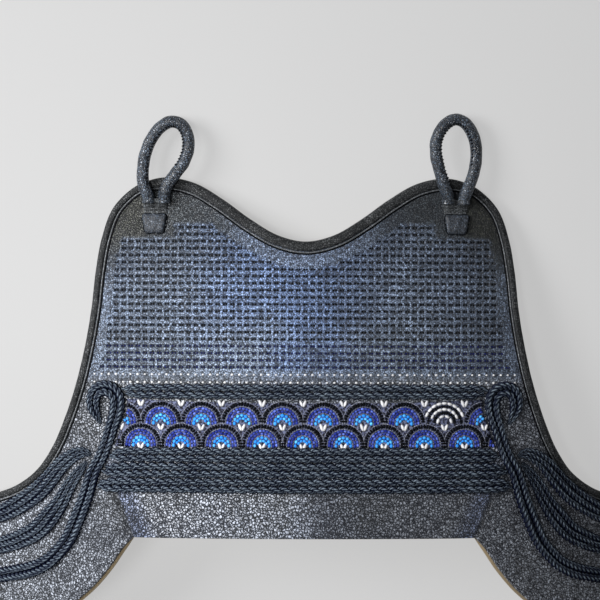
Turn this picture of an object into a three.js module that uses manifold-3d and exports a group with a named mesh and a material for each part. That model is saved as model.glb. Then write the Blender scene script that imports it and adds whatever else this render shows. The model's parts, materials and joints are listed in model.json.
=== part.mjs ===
// The stiff leather chest panel of a kendo body protector, resting front up on its shoulders and wings. It is
// a bent, leather-faced board with a beige lining, a leather binding round the neck, shoulders and armholes,
// two rolled leather loops with their keepers, and twisted cords round a band of wave scales.
import * as THREE from "three";
import { mergeVertices } from "three/addons/utils/BufferGeometryUtils.js";
import Module from "manifold-3d";

const wasm = await Module();
wasm.setup();

// Driving sizes in millimetres. The panel's own frame has x to the right, y up to the neck and z out of the
// front, and its origin is the middle of the waist edge, on the front face.
const shoulderHeight = 287; // waist edge to the top of the shoulders
const neckDepth = 51; // top of the shoulders to the bottom of the neckline
const crestX = 110; // centre line to the top of a shoulder
const wingReach = 287.5; // centre line to the end of a wing
const wingDrop = 86; // waist edge down to the lowest point of a wing
const waistHalf = 137; // half of the straight waist edge

const archRadius = 900; // the panel's curve from side to side
const wingBend = THREE.MathUtils.degToRad(16); // how far each wing is bent back past that curve
const creaseHalfWidth = 25; // half of the width over which that bend is made
const creaseSlant = 0.35; // how far the crease runs outwards for each millimetre up
const bendLow = 43; // waist edge to the level where the bend starts to fade
const bendHigh = 172; // waist edge to the level where it is gone

const clearance = 0.35; // the gap kept between pieces
const panelThickness = 3.5;
const liningThickness = 1.5;
const bindingThickness = 1.2;
const bindingCrown = 0.9; // how much fuller the binding is between its edges
const bindingNarrowing = 27.5; // the stretch past a crest over which the binding narrows
const neckBindingWidth = 9.5; // on the front, round the neck
const sideBindingWidth = 7; // on the front, down the armholes
const backBindingWidth = 6; // on the back
const floorFlat = 0.4; // how far the leather is pressed flat where it rests

const cordWidth = 5.9; // one twisted cord, side by side with the next
const cordHeight = 4.2; // how far a cord stands above the leather
const cordFlank = 0.28; // each sloping side of a cord, a share of its width
const cordValley = 0.55; // the height between two cords, a share of theirs
const cordPinched = 0.55; // the height of a bundle squeezed to a point, a share of its full height
const cordFieldHeight = 122.5; // waist edge to the top of the highest straight cord
const bareHem = 36; // bare leather between the waist edge and the lowest cord
const bandCordCount = 2; // cords in each straight band
const cloudCordCount = 2; // cords in the bundle that curls up beside the bands
const wingCordCount = 3; // cords in each of the other two bundles on a wing

const wavePitch = 32.2; // from one wave scale to the next
const waveShift = 2.9; // how far the pattern is to the left of the centre line
const waveBackThickness = 0.9;
const waveRidgeWidth = 3.2;
const waveRidgeHeight = 0.9;

const loopRadius = 4.8; // of the rolled leather
const loopLength = 61; // from the loop's foot to its far end
const loopX = 118.5; // centre line to the middle of the loop's foot
const loopInset = 15.5; // the loop's foot below the top of the shoulder
const loopLift = 9; // how far the far end springs up from the panel

const keeperWidth = 19.5;
const keeperHeight = 15.5;
const keeperThickness = 2.2;
const keeperGap = 12; // from the loop's foot to the keeper's upper edge
const keeperShift = 2; // the keeper's middle outside the loop's
const keeperTaper = 0.14; // how much narrower it is at its lower end, a share of its width
const keeperCorner = 0.2; // how much its rounded corners take off its width, a share of it
const keeperEnd = 0.55; // its height at either end, a share of its full height
const keeperTop = 0.75; // its flat top, a share of its width

// The armhole's edge below the shoulder. out is a share of the way from the shoulder's top to the wing's end,
// and up a share of the shoulder's height.
const armhole = [
  { out: 0.085, up: 0.992 },
  { out: 0.163, up: 0.969 },
  { out: 0.251, up: 0.913 },
  { out: 0.301, up: 0.829 },
  { out: 0.327, up: 0.739 },
  { out: 0.346, up: 0.634 },
  { out: 0.377, up: 0.523 },
  { out: 0.42, up: 0.415 },
  { out: 0.468, up: 0.328 },
  { out: 0.524, up: 0.251 },
  { out: 0.603, up: 0.181 },
  { out: 0.707, up: 0.132 },
  { out: 0.823, up: 0.103 },
  { out: 0.924, up: 0.077 },
];
// The wing's rounded end. down is a share of the wing's drop.
const wingEnd = [
  { out: 0.983, down: -0.105 },
  { out: 1, down: 0.116 },
  { out: 0.989, down: 0.442 },
  { out: 0.958, down: 0.721 },
  { out: 0.89, down: 0.953 },
];
// The wing's lower edge, back to the waist. out is a share of the way from the waist's corner to the wing's
// end.
const wingHem = [
  { out: 0.751, down: 1 },
  { out: 0.631, down: 0.959 },
  { out: 0.512, down: 0.878 },
  { out: 0.399, down: 0.762 },
  { out: 0.306, down: 0.634 },
  { out: 0.219, down: 0.494 },
  { out: 0.13, down: 0.308 },
  { out: 0.056, down: 0.122 },
];

// The middle lines of the cord bundles on a wing. out is as in the armhole's table, up is a share of the cord
// field's height, and width is a share of the bundle's full width. Each ends at the binding.
const cloudBundle = [
  { out: 0.298, up: 0.738, width: 0.2 },
  { out: 0.313, up: 0.784, width: 0.55 },
  { out: 0.329, up: 0.842, width: 0.85 },
  { out: 0.33, up: 0.901, width: 0.95 },
  { out: 0.316, up: 0.95, width: 1.02 },
  { out: 0.284, up: 0.971, width: 1.07 },
  { out: 0.248, up: 0.957, width: 1.07 },
  { out: 0.225, up: 0.914, width: 1.06 },
  { out: 0.221, up: 0.856, width: 1.05 },
  { out: 0.228, up: 0.797, width: 1 },
  { out: 0.243, up: 0.731, width: 0.92 },
  { out: 0.268, up: 0.614, width: 0.88 },
  { out: 0.295, up: 0.516, width: 0.88 },
  { out: 0.327, up: 0.431, width: 0.93 },
  { out: 0.365, up: 0.255, width: 1.03 },
  { out: 0.408, up: 0.098, width: 1.07 },
  { out: 0.451, up: -0.033, width: 1.05 },
  { out: 0.502, up: -0.124, width: 1.03 },
  { out: 0.55, up: -0.189, width: 1.05 },
  { out: 0.619, up: -0.242, width: 1.1 },
  { out: 0.757, up: -0.294, width: 1.05 },
  { out: 1.05, up: -0.385, width: 0.95 },
];
const middleBundle = [
  { out: 0.363, up: 0.486, width: 0.15 },
  { out: 0.391, up: 0.434, width: 0.42 },
  { out: 0.44, up: 0.333, width: 0.63 },
  { out: 0.486, up: 0.214, width: 0.77 },
  { out: 0.541, up: 0.107, width: 0.93 },
  { out: 0.601, up: 0.017, width: 0.92 },
  { out: 0.688, up: -0.052, width: 0.87 },
  { out: 0.757, up: -0.089, width: 0.82 },
  { out: 1.05, up: -0.18, width: 0.75 },
];
const outerBundle = [
  { out: 0.345, up: 0.527, width: 0.15 },
  { out: 0.363, up: 0.545, width: 0.38 },
  { out: 0.391, up: 0.546, width: 0.56 },
  { out: 0.435, up: 0.517, width: 0.68 },
  { out: 0.481, up: 0.462, width: 0.77 },
  { out: 0.527, up: 0.387, width: 0.88 },
  { out: 0.573, up: 0.313, width: 0.95 },
  { out: 0.619, up: 0.253, width: 0.95 },
  { out: 0.684, up: 0.187, width: 0.91 },
  { out: 0.757, up: 0.13, width: 0.84 },
  { out: 1.05, up: 0, width: 0.74 },
];

// The middle lines of the loops. side and along are shares of a loop's length, from the middle of its foot.
const rightLoop = [
  { side: -0.105, along: 0 },
  { side: -0.15, along: 0.12 },
  { side: -0.225, along: 0.34 },
  { side: -0.28, along: 0.56 },
  { side: -0.275, along: 0.75 },
  { side: -0.175, along: 0.93 },
  { side: -0.045, along: 1 },
  { side: 0.08, along: 0.955 },
  { side: 0.185, along: 0.82 },
  { side: 0.24, along: 0.63 },
  { side: 0.24, along: 0.43 },
  { side: 0.195, along: 0.23 },
  { side: 0.11, along: 0 },
];
const leftLoop = [
  { side: -0.1, along: 0 },
  { side: -0.155, along: 0.16 },
  { side: -0.155, along: 0.36 },
  { side: -0.115, along: 0.56 },
  { side: -0.02, along: 0.76 },
  { side: 0.1, along: 0.895 },
  { side: 0.235, along: 0.955 },
  { side: 0.36, along: 0.91 },
  { side: 0.43, along: 0.775 },
  { side: 0.435, along: 0.605 },
  { side: 0.375, along: 0.435 },
  { side: 0.255, along: 0.275 },
  { side: 0.15, along: 0.135 },
  { side: 0.11, along: 0 },
];

// The binding's fuller middle. across is a share of its width, and up a share of its crown.
const bindingSwell = [
  { across: 0.6, up: 1 },
  { across: 0.25, up: 0.8 },
];

// How finely the curves are cut into flat faces.
const edgeSteps = 72; // along the bound edge
const hemSteps = 12; // along one wing's lower edge
const ridgeSteps = 6; // round one wave scale
const loopSteps = 24;
const loopSides = 10;
const flatFacet = 38; // across the nearly flat middle and the wings' ends
const creaseFacet = 12.5; // across the crease
const bentFacet = 30; // up the panel as far as the bend reaches
const plainFacet = 60; // up the panel above that

// How far the front face lies below its middle.
function drop(x, y) {
  const away = Math.abs(x);
  const past = away - (waistHalf + creaseSlant * y);
  const rounded = Math.max(0, past + creaseHalfWidth) ** 2 / (4 * creaseHalfWidth);
  const knee = past > creaseHalfWidth ? past : rounded;
  const fade = 1 - THREE.MathUtils.smoothstep(y, bendLow, bendHigh);
  return away ** 2 / (2 * archRadius) + Math.tan(wingBend) * knee * fade;
}

// The point at (x, y) of the flat pattern, at a height above the bent front face.
function place(x, y, height) {
  const step = 0.5;
  const normal = new THREE.Vector3(
    (drop(x + step, y) - drop(x - step, y)) / (2 * step),
    (drop(x, y + step) - drop(x, y - step)) / (2 * step),
    1,
  );
  return new THREE.Vector3(x, y, -drop(x, y)).addScaledVector(normal.normalize(), height);
}

// A closed body from points and triangles, turned so that its faces point out.
function body(points, faces) {
  let volume = 0;
  for (const [a, b, c] of faces) volume += points[a].dot(points[b].clone().cross(points[c]));
  const turned = volume < 0 ? faces.map(([a, b, c]) => [a, c, b]) : faces;
  return new THREE.BufferGeometry().setFromPoints(points).setIndex(turned.flat());
}

function toSolid(geometry) {
  const bare = new THREE.BufferGeometry();
  bare.setAttribute("position", geometry.getAttribute("position"));
  bare.setIndex(geometry.index);
  const merged = mergeVertices(bare, 1e-3);
  const vertProperties = new Float32Array(merged.getAttribute("position").array);
  const triVerts = new Uint32Array(merged.index.array);
  return new wasm.Manifold(new wasm.Mesh({ numProp: 3, vertProperties, triVerts }));
}

function toGeometry(solid) {
  const { vertProperties, triVerts } = solid.getMesh();
  const geometry = new THREE.BufferGeometry();
  geometry.setAttribute("position", new THREE.BufferAttribute(vertProperties, 3));
  return geometry.setIndex(new THREE.BufferAttribute(triVerts, 1));
}

function mirrored(geometry) {
  const other = geometry.clone().scale(-1, 1, 1);
  const index = other.index.array;
  for (let i = 0; i < index.length; i += 3) [index[i], index[i + 1]] = [index[i + 1], index[i]];
  return other;
}

// Rings of points joined into a tube, with a flat cap at each end. section is the rings' own flat outline.
function joinRings(rings, section) {
  const count = section.length;
  const last = (rings.length - 1) * count;
  const faces = [];
  for (let ring = 0; ring < last; ring += count) {
    for (let i = 0; i < count; i++) {
      const next = (i + 1) % count;
      faces.push([ring + i, ring + next, ring + count + next]);
      faces.push([ring + i, ring + count + next, ring + count + i]);
    }
  }
  const outline = section.map(([side, height]) => new THREE.Vector2(side, height));
  const turns = THREE.ShapeUtils.area(outline) > 0;
  for (const [a, b, c] of THREE.ShapeUtils.triangulateShape(outline, [])) {
    const sameWay = THREE.ShapeUtils.area([outline[a], outline[b], outline[c]]) > 0 === turns;
    const [p, q] = sameWay ? [b, c] : [c, b];
    faces.push([a, q, p], [last + a, last + p, last + q]);
  }
  return body(rings.flat(), faces);
}

// The direction of a line at one of its points, in the flat pattern.
function headingAt(line, i) {
  const before = line[Math.max(i - 1, 0)];
  const after = line[Math.min(i + 1, line.length - 1)];
  return new THREE.Vector2(after.x - before.x, after.y - before.y).normalize();
}

// A point of the flat pattern, moved to the left of a line's direction.
const beside = (point, heading, by) =>
  new THREE.Vector3(point.x - heading.y * by, point.y + heading.x * by, 0);

// A strip that follows a line on the panel. section(point) gives its outline as [left, height] pairs.
function ribbon(line, section) {
  const rings = line.map((point, i) => {
    const heading = headingAt(line, i);
    return section(point, i / (line.length - 1)).map(([left, height]) => {
      const { x, y } = beside(point, heading, left);
      return place(x, y, height);
    });
  });
  return joinRings(rings, section(line[line.length >> 1], 0.5));
}

const flip = (point) => new THREE.Vector3(-point.x, point.y, point.z);
const wingPoint = (out, y, width = 0) => new THREE.Vector3(crestX + out * (wingReach - crestX), y, width);
const endPoint = ({ out, down }) => wingPoint(out, -down * wingDrop);

// The bound edge from the right wing's end over the neck to the left one's.
function boundEdge() {
  const neckShares = [0, 0.2, 0.4, 0.6, 0.8, 1];
  const neck = neckShares.map((share) => {
    const below = ((1 + Math.cos(Math.PI * share)) / 2) * neckDepth;
    return new THREE.Vector3(share * crestX, shoulderHeight - below, 0);
  });
  const side = armhole.map(({ out, up }) => wingPoint(out, up * shoulderHeight));
  const right = [...neck, ...side, ...wingEnd.map(endPoint)];
  const points = [...right.slice(1).reverse(), ...right.map(flip)];
  return new THREE.CatmullRomCurve3(points).getSpacedPoints(edgeSteps);
}
const boundLine = boundEdge();

// A right wing's lower edge, from the wing's end to the corner at the waist.
function hemEdge() {
  const points = wingHem.map(
    ({ out, down }) => new THREE.Vector3(waistHalf + out * (wingReach - waistHalf), -down * wingDrop, 0),
  );
  const corner = new THREE.Vector3(waistHalf, 0, 0);
  return new THREE.CatmullRomCurve3([endPoint(wingEnd.at(-1)), ...points, corner]).getSpacedPoints(hemSteps);
}

// The whole outline, anticlockwise, with its bound part drawn in.
function drawnIn(inset) {
  const bound = boundLine.map((point, i) => beside(point, headingAt(boundLine, i), inset));
  const hem = hemEdge().slice(1);
  return [...bound, ...hem.map(flip), ...hem.slice().reverse()];
}

// Grid lines from one stop to the next, spaced at most as far apart as each stretch allows.
function gridLines(start, ...stretches) {
  const lines = [start];
  for (const { to, facet } of stretches) {
    const from = lines.at(-1);
    const count = Math.ceil((to - from) / facet);
    for (let k = 1; k <= count; k++) lines.push(from + ((to - from) * k) / count);
  }
  return lines;
}
const spare = 6; // how far the grid runs on past the outline
const halfGridX = gridLines(
  0,
  { to: waistHalf - creaseHalfWidth, facet: flatFacet },
  { to: waistHalf + creaseSlant * bendHigh + creaseHalfWidth, facet: creaseFacet },
  { to: wingReach + spare, facet: flatFacet },
);
const gridX = [...halfGridX.slice(1).reverse().map((x) => -x), ...halfGridX];
const gridY = gridLines(
  -wingDrop - spare,
  { to: bendHigh, facet: bentFacet },
  { to: shoulderHeight + spare, facet: plainFacet },
);

// A slab between two heights that follows the bent panel, over a grid of flat facets.
function bentSlab(low, high, xs, ys) {
  const points = [low, high].flatMap((height) => ys.flatMap((y) => xs.map((x) => place(x, y, height))));
  const at = (layer, row, column) => (layer * ys.length + row) * xs.length + column;
  const faces = [];
  const quad = (a, b, c, d) => faces.push([a, b, c], [a, c, d]);
  const [endRow, endColumn] = [ys.length - 1, xs.length - 1];
  for (let row = 0; row < endRow; row++) {
    for (let column = 0; column < endColumn; column++) {
      quad(at(1, row, column), at(1, row, column + 1), at(1, row + 1, column + 1), at(1, row + 1, column));
      quad(at(0, row, column), at(0, row + 1, column), at(0, row + 1, column + 1), at(0, row, column + 1));
    }
    quad(at(0, row, 0), at(1, row, 0), at(1, row + 1, 0), at(0, row + 1, 0));
    quad(at(0, row, endColumn), at(0, row + 1, endColumn), at(1, row + 1, endColumn), at(1, row, endColumn));
  }
  for (let column = 0; column < endColumn; column++) {
    quad(at(0, 0, column), at(0, 0, column + 1), at(1, 0, column + 1), at(1, 0, column));
    quad(at(0, endRow, column), at(1, endRow, column), at(1, endRow, column + 1), at(0, endRow, column + 1));
  }
  return toSolid(body(points, faces));
}

// A cutter whose walls stand square on the bent panel along an outline, and run on up and down past it.
const cutterReach = 10; // square to the panel, past both its faces
function outlineCutter(outline) {
  const rise = new THREE.Vector3(0, 0, wingReach);
  const rings = [
    outline.map(({ x, y }) => place(x, y, -cutterReach).sub(rise)),
    outline.map(({ x, y }) => place(x, y, -cutterReach)),
    outline.map(({ x, y }) => place(x, y, cutterReach)),
    outline.map(({ x, y }) => place(x, y, cutterReach).add(rise)),
  ];
  const section = outline.map(({ x, y }) => [x, y]);
  return toSolid(joinRings(rings, section));
}

const coverOutline = drawnIn(bindingThickness + clearance);
const cutSheet = (low, high) =>
  toGeometry(bentSlab(low, high, gridX, gridY).intersect(outlineCutter(coverOutline)));

// The leather binding: a channel round the edge, fuller in its middle, wider at the neck than at the sides.
const bindingTop = clearance + bindingThickness;
function makeBinding() {
  const under = -(panelThickness + clearance + liningThickness) - 2 * clearance;
  const bottom = under - bindingThickness;
  const round = bindingThickness / 2;
  return ribbon(boundLine, ({ x, y }) => {
    const pastCrest = THREE.MathUtils.smoothstep(Math.abs(x), crestX, crestX + bindingNarrowing);
    const onSide = y > shoulderHeight / 2 ? pastCrest : 1;
    const width = THREE.MathUtils.lerp(neckBindingWidth, sideBindingWidth, onSide);
    return [
      [width, clearance],
      [width, bindingTop],
      ...bindingSwell.map(({ across, up }) => [across * width, bindingTop + up * bindingCrown]),
      [0, 0],
      [0, bottom + round],
      [round, bottom],
      [backBindingWidth, bottom],
      [backBindingWidth, under],
      [bindingThickness, under],
      [bindingThickness, clearance],
    ];
  });
}

// The outline across a few cords sewn down side by side, as [left, height] pairs.
function cordSection(cords, share) {
  const pitch = cordWidth * share;
  const half = (cords * pitch) / 2;
  const height = cordHeight * Math.min(1, THREE.MathUtils.lerp(cordPinched, 1, share));
  const points = [[-half, clearance]];
  for (let cord = 0; cord < cords; cord++) {
    const start = -half + cord * pitch;
    if (cord > 0) points.push([start, clearance + cordValley * height]);
    points.push([start + cordFlank * pitch, clearance + height]);
    points.push([start + (1 - cordFlank) * pitch, clearance + height]);
  }
  points.push([half, clearance]);
  return points;
}

// A line through a table's rows, with two stretches for each, so that the close rows of a hook stay round.
// Its third value is the bundle's width there.
function bundleLine(table) {
  const points = table.map(({ out, up, width }) => wingPoint(out, up * cordFieldHeight, width));
  return new THREE.CatmullRomCurve3(points).getPoints(2 * (points.length - 1));
}

// The space that a bundle takes up, with its clearance, through the whole panel.
function bundleSpace(line, cords) {
  return toSolid(
    ribbon(line, ({ z: share }) => {
      const half = (cords * cordWidth * share) / 2 + clearance;
      return [
        [-half, -cutterReach],
        [half, -cutterReach],
        [half, cutterReach],
        [-half, cutterReach],
      ];
    }),
  );
}

// The wing's bundles, each cut off at the binding and where it would run into one made before it.
const bundles = [
  { name: "cloud_cord", table: cloudBundle, cords: cloudCordCount },
  { name: "wing_cord_middle", table: middleBundle, cords: wingCordCount },
  { name: "wing_cord_outer", table: outerBundle, cords: wingCordCount },
];
function makeBundles() {
  const inside = outlineCutter(drawnIn(sideBindingWidth + clearance));
  let taken = null;
  return bundles.map(({ name, table, cords }) => {
    const line = bundleLine(table);
    const whole = toSolid(ribbon(line, ({ z: share }) => cordSection(cords, share)));
    const solid = taken ? whole.subtract(taken) : whole;
    const space = bundleSpace(line, cords);
    taken = taken ? taken.add(space) : space;
    return [name, toGeometry(solid.intersect(inside))];
  });
}

// The cloud cord's side that faces the middle of the panel, from the top down: where its line runs down.
const downward = -0.2; // the least fall of a line that runs down, a share of its length
function cloudInnerSide() {
  const line = bundleLine(cloudBundle);
  const points = line.map((point, i) => {
    const half = (cloudCordCount * cordWidth * point.z) / 2;
    return beside(point, headingAt(line, i), -half - 4 * clearance);
  });
  return points.filter((point, i) => headingAt(line, i).y < downward);
}
const innerSide = cloudInnerSide();

// Where the straight bands have to end at a level to stay clear of the cloud cord.
function bandEnd(y) {
  const next = innerSide.findIndex((point) => point.y < y);
  if (next < 1) return innerSide[0].x;
  const [above, below] = [innerSide[next - 1], innerSide[next]];
  return THREE.MathUtils.mapLinear(y, above.y, below.y, above.x, below.x);
}

// Straight cords across the panel, cut at their ends to the line of the cloud cords.
const bandHeight = bandCordCount * cordWidth;
function makeBand(low) {
  const middle = low + bandHeight / 2;
  const section = cordSection(bandCordCount, 1);
  const ring = (xAt) => section.map(([left, height]) => place(xAt(middle + left), middle + left, height));
  const shortest = Math.min(bandEnd(low), bandEnd(low + bandHeight));
  const crossed = gridX.filter((x) => Math.abs(x) < shortest - 2 * clearance);
  const rings = [ring((y) => -bandEnd(y)), ...crossed.map((x) => ring(() => x)), ring(bandEnd)];
  return joinRings(rings, section);
}

// The levels of the bands, from the bottom up, and of the wave band between them.
const lowerBandLevels = [0, 1, 2].map((row) => bareHem + row * (bandHeight + clearance));
const waveLow = lowerBandLevels.at(-1) + bandHeight + clearance;
const waveHigh = cordFieldHeight - bandHeight - clearance;

// One wave scale's raised rim, a half ring.
function waveRidge(x, y) {
  const radius = (wavePitch - waveRidgeWidth) / 2;
  const line = Array.from({ length: ridgeSteps + 1 }, (_, i) => {
    const angle = (Math.PI * i) / ridgeSteps;
    return new THREE.Vector3(x + radius * Math.cos(angle), y + radius * Math.sin(angle), 0);
  });
  const half = waveRidgeWidth / 2;
  const low = clearance + waveBackThickness / 2;
  const high = clearance + waveBackThickness + waveRidgeHeight;
  return toSolid(ribbon(line, () => [[-half, low], [0, high], [half, low]]));
}

function makeWaveBand() {
  const side = innerSide.filter(({ y }) => y > waveLow && y < waveHigh);
  const right = [
    new THREE.Vector3(bandEnd(waveLow), waveLow, 0),
    ...side.reverse(),
    new THREE.Vector3(bandEnd(waveHigh), waveHigh, 0),
  ];
  const outline = [...right, ...right.slice().reverse().map(flip)];
  const levels = [waveLow - spare, (waveLow + waveHigh) / 2, waveHigh + spare];
  let band = bentSlab(clearance, clearance + waveBackThickness, gridX, levels);
  const rowRise = wavePitch / 2;
  const rows = Math.floor((waveHigh - waveLow) / rowRise);
  const count = Math.ceil(right[0].x / wavePitch) + 1;
  for (let row = 0; row < rows; row++) {
    for (let i = -count; i <= count; i++) {
      const x = (i + (row % 2) / 2) * wavePitch - waveShift;
      band = band.add(waveRidge(x, waveLow + row * rowRise));
    }
  }
  return toGeometry(band.intersect(outlineCutter(outline)));
}

// A rolled leather loop: both feet lie on the panel, and it climbs over the binding and springs up a little.
const loopFoot = shoulderHeight - loopInset;
function makeLoop(table, middleX) {
  const bindingEdge = shoulderHeight - neckBindingWidth;
  const points = table.map(({ side, along }) => {
    const y = loopFoot + along * loopLength;
    const climb = THREE.MathUtils.smoothstep(y, bindingEdge - 2 * loopRadius, bindingEdge - clearance);
    const low = clearance + climb * (bindingTop + bindingCrown);
    return place(middleX + side * loopLength, y, low + loopRadius + loopLift * along ** 1.5);
  });
  const section = Array.from({ length: loopSides }, (_, i) => {
    const angle = (2 * Math.PI * i) / loopSides;
    return new THREE.Vector2(loopRadius * Math.cos(angle), loopRadius * Math.sin(angle));
  });
  const path = new THREE.CatmullRomCurve3(points);
  const options = { steps: loopSteps, extrudePath: path, bevelEnabled: false };
  return new THREE.ExtrudeGeometry(new THREE.Shape(section), options);
}

// The leather keeper below a loop: a small pillow that is narrower at its lower end.
function makeKeeper(middleX) {
  const top = loopFoot - keeperGap;
  const steps = 8;
  const line = Array.from(
    { length: steps + 1 },
    (_, i) => new THREE.Vector3(middleX, top - (i / steps) * keeperHeight, 0),
  );
  return ribbon(line, (point, share) => {
    const round = Math.sqrt(1 - Math.abs(2 * share - 1) ** 5);
    const half = (keeperWidth / 2) * (1 - keeperCorner * (1 - round)) * (1 - keeperTaper * share);
    const high = clearance + keeperThickness * THREE.MathUtils.lerp(keeperEnd, 1, round);
    const shoulder = (clearance + high) / 2;
    return [
      [-half, clearance],
      [-half, shoulder],
      [-keeperTop * half, high],
      [keeperTop * half, high],
      [half, shoulder],
      [half, clearance],
    ];
  });
}

const finish = (color, roughness) => new THREE.MeshStandardMaterial({ color, roughness, metalness: 0 });
const panelLeather = finish(0x23272f, 0.5);
const bindingLeather = finish(0x2c2e33, 0.6);
const loopLeather = finish(0x26292e, 0.55);
const liningLeather = finish(0xb39b6d, 0.85);
const cordCotton = finish(0x1b222d, 0.85);
const waveThread = finish(0x2b3192, 0.75);

const model = new THREE.Group();
function add(name, geometry, material) {
  const mesh = new THREE.Mesh(geometry, material);
  mesh.name = name;
  model.add(mesh);
  return mesh;
}

const liningTop = -panelThickness - clearance;
add("chest_panel", cutSheet(-panelThickness, 0), panelLeather);
add("back_lining", cutSheet(liningTop - liningThickness, liningTop), liningLeather);
const binding = add("edge_binding", makeBinding(), bindingLeather);

add("upper_cord_band", makeBand(cordFieldHeight - bandHeight), cordCotton);
lowerBandLevels.forEach((level, i) => add("lower_cord_band_" + (i + 1), makeBand(level), cordCotton));
add("wave_band", makeWaveBand(), waveThread);
for (const [name, geometry] of makeBundles()) {
  add(name + "_right", geometry, cordCotton);
  add(name + "_left", mirrored(geometry), cordCotton);
}

add("loop_right", makeLoop(rightLoop, loopX), loopLeather);
add("loop_left", makeLoop(leftLoop, -loopX), loopLeather);
add("loop_keeper_right", makeKeeper(loopX + keeperShift), loopLeather);
add("loop_keeper_left", makeKeeper(-loopX - keeperShift), loopLeather);

// The panel is laid on the floor: tipped until its shoulders and its wings' ends are equally low, and pressed
// flat there.
function cornersOf(geometry) {
  const position = geometry.getAttribute("position");
  const indices = Array.from({ length: position.count }, (_, i) => i);
  return indices.map((i) => new THREE.Vector3().fromBufferAttribute(position, i));
}

function lowest(points, tilt) {
  return Math.min(...points.map(({ y, z }) => y * Math.sin(tilt) + z * Math.cos(tilt)));
}

function restingTilt(points) {
  const shoulders = points.filter(({ y }) => y > shoulderHeight / 2);
  const wings = points.filter(({ y }) => y <= shoulderHeight / 2);
  let [steep, level] = [-Math.PI / 4, 0];
  for (let i = 0; i < 40; i++) {
    const tilt = (steep + level) / 2;
    if (lowest(shoulders, tilt) > lowest(wings, tilt)) level = tilt;
    else steep = tilt;
  }
  return level;
}

const bindingCorners = cornersOf(binding.geometry);
const tilt = restingTilt(bindingCorners);
model.rotation.x = tilt;
model.position.z = -lowest(bindingCorners, tilt) - floorFlat;
model.updateMatrixWorld(true);
const floorBlock = new THREE.BoxGeometry(4 * wingReach, 4 * wingReach, 2 * wingReach);
floorBlock.translate(0, 0, -wingReach);
floorBlock.applyMatrix4(model.matrixWorld.clone().invert());
binding.geometry = toGeometry(toSolid(binding.geometry).subtract(toSolid(floorBlock)));
const middle = new THREE.Box3().setFromObject(model, true).getCenter(new THREE.Vector3());
model.position.y = -middle.y;

export default model;
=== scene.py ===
# %% [markdown]
# # The chest panel of a kendo body protector
#
# The real thing is a bent board faced with dark blue leather. It covers a fencer's chest above the hard shell
# round the belly. Leather binds its upper edge, two rolled leather loops take the shoulder cords, and thick
# twisted cords are sewn down round a band of embroidered wave scales.
#
# The solids are already packed as a frame, in metres. Everything here is built round them in the same place,
# so the first cell loads the frame.

# %% Load the frame
import json
import math

import bpy
import numpy as np
from mathutils import Matrix, Vector
from mathutils.geometry import delaunay_2d_cdt


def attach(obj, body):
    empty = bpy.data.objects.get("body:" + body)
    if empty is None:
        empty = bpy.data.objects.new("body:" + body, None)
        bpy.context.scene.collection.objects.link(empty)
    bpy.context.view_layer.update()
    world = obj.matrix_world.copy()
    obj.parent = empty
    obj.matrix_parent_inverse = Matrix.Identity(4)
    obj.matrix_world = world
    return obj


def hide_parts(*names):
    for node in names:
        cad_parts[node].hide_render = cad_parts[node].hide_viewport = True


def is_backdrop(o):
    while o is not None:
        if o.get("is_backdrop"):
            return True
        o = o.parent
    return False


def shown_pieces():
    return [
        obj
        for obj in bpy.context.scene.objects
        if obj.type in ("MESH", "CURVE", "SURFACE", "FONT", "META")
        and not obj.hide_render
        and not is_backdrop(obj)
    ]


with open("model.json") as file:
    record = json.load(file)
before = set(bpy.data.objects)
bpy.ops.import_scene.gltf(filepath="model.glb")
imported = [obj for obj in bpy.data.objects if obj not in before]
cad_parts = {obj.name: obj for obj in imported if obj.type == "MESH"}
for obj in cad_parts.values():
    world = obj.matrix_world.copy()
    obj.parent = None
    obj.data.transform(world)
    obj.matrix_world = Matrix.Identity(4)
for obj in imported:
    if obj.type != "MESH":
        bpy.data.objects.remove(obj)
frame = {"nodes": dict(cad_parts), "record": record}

bpy.context.view_layer.update()
print("solids:", sorted(frame["nodes"]))

# %% [markdown]
# ## The panel's own frame
#
# A maker draws such a panel flat, with x to the right and y up to the neck, and bends it afterwards. The
# pieces here are drawn the same way: `place` takes a flat point and a height above the leather and gives the
# point in the world. The panel lies tipped on the floor, and its one mount, the waist edge, says how far.
# Reading the tilt from the mount keeps the scene on the frame if the panel is ever laid down differently.

# %% The panel's own frame, in metres
MM = 0.001
SHOULDER_HEIGHT = 287 * MM
NECK_DEPTH = 51 * MM
CREST_X = 110 * MM
WING_REACH = 287.5 * MM
WING_DROP = 86 * MM
WAIST_HALF = 137 * MM
ARCH_RADIUS = 900 * MM
WING_BEND = math.radians(16)
CREASE_HALF_WIDTH = 25 * MM
CREASE_SLANT = 0.35
BEND_LOW = 43 * MM
BEND_HIGH = 172 * MM
CLEARANCE = 0.35 * MM
STEP = 0.5 * MM  # the short step over which slopes and headings are measured

mount = frame["record"]["mounts"][0]
MOUNT_PLACE = np.array([0, -0.481, -0.516]) * MM  # where the mount is in the panel's own frame
TILT = math.atan2(-mount["axis"][2], -mount["axis"][1])
TURN = np.array(Matrix.Rotation(TILT, 3, "X"))
SHIFT = np.array(mount["pos_m"]) - TURN @ MOUNT_PLACE


def smooth_step(low, high, value):
    t = np.clip((value - low) / (high - low), 0, 1)
    return t * t * (3 - 2 * t)


def drop(x, y):
    """How far the bent front face lies below its middle."""
    away = np.abs(x)
    past = away - (WAIST_HALF + CREASE_SLANT * y)
    rounded = np.maximum(0, past + CREASE_HALF_WIDTH) ** 2 / (4 * CREASE_HALF_WIDTH)
    knee = np.where(past > CREASE_HALF_WIDTH, past, rounded)
    fade = 1 - smooth_step(BEND_LOW, BEND_HIGH, y)
    return away**2 / (2 * ARCH_RADIUS) + math.tan(WING_BEND) * knee * fade


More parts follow.
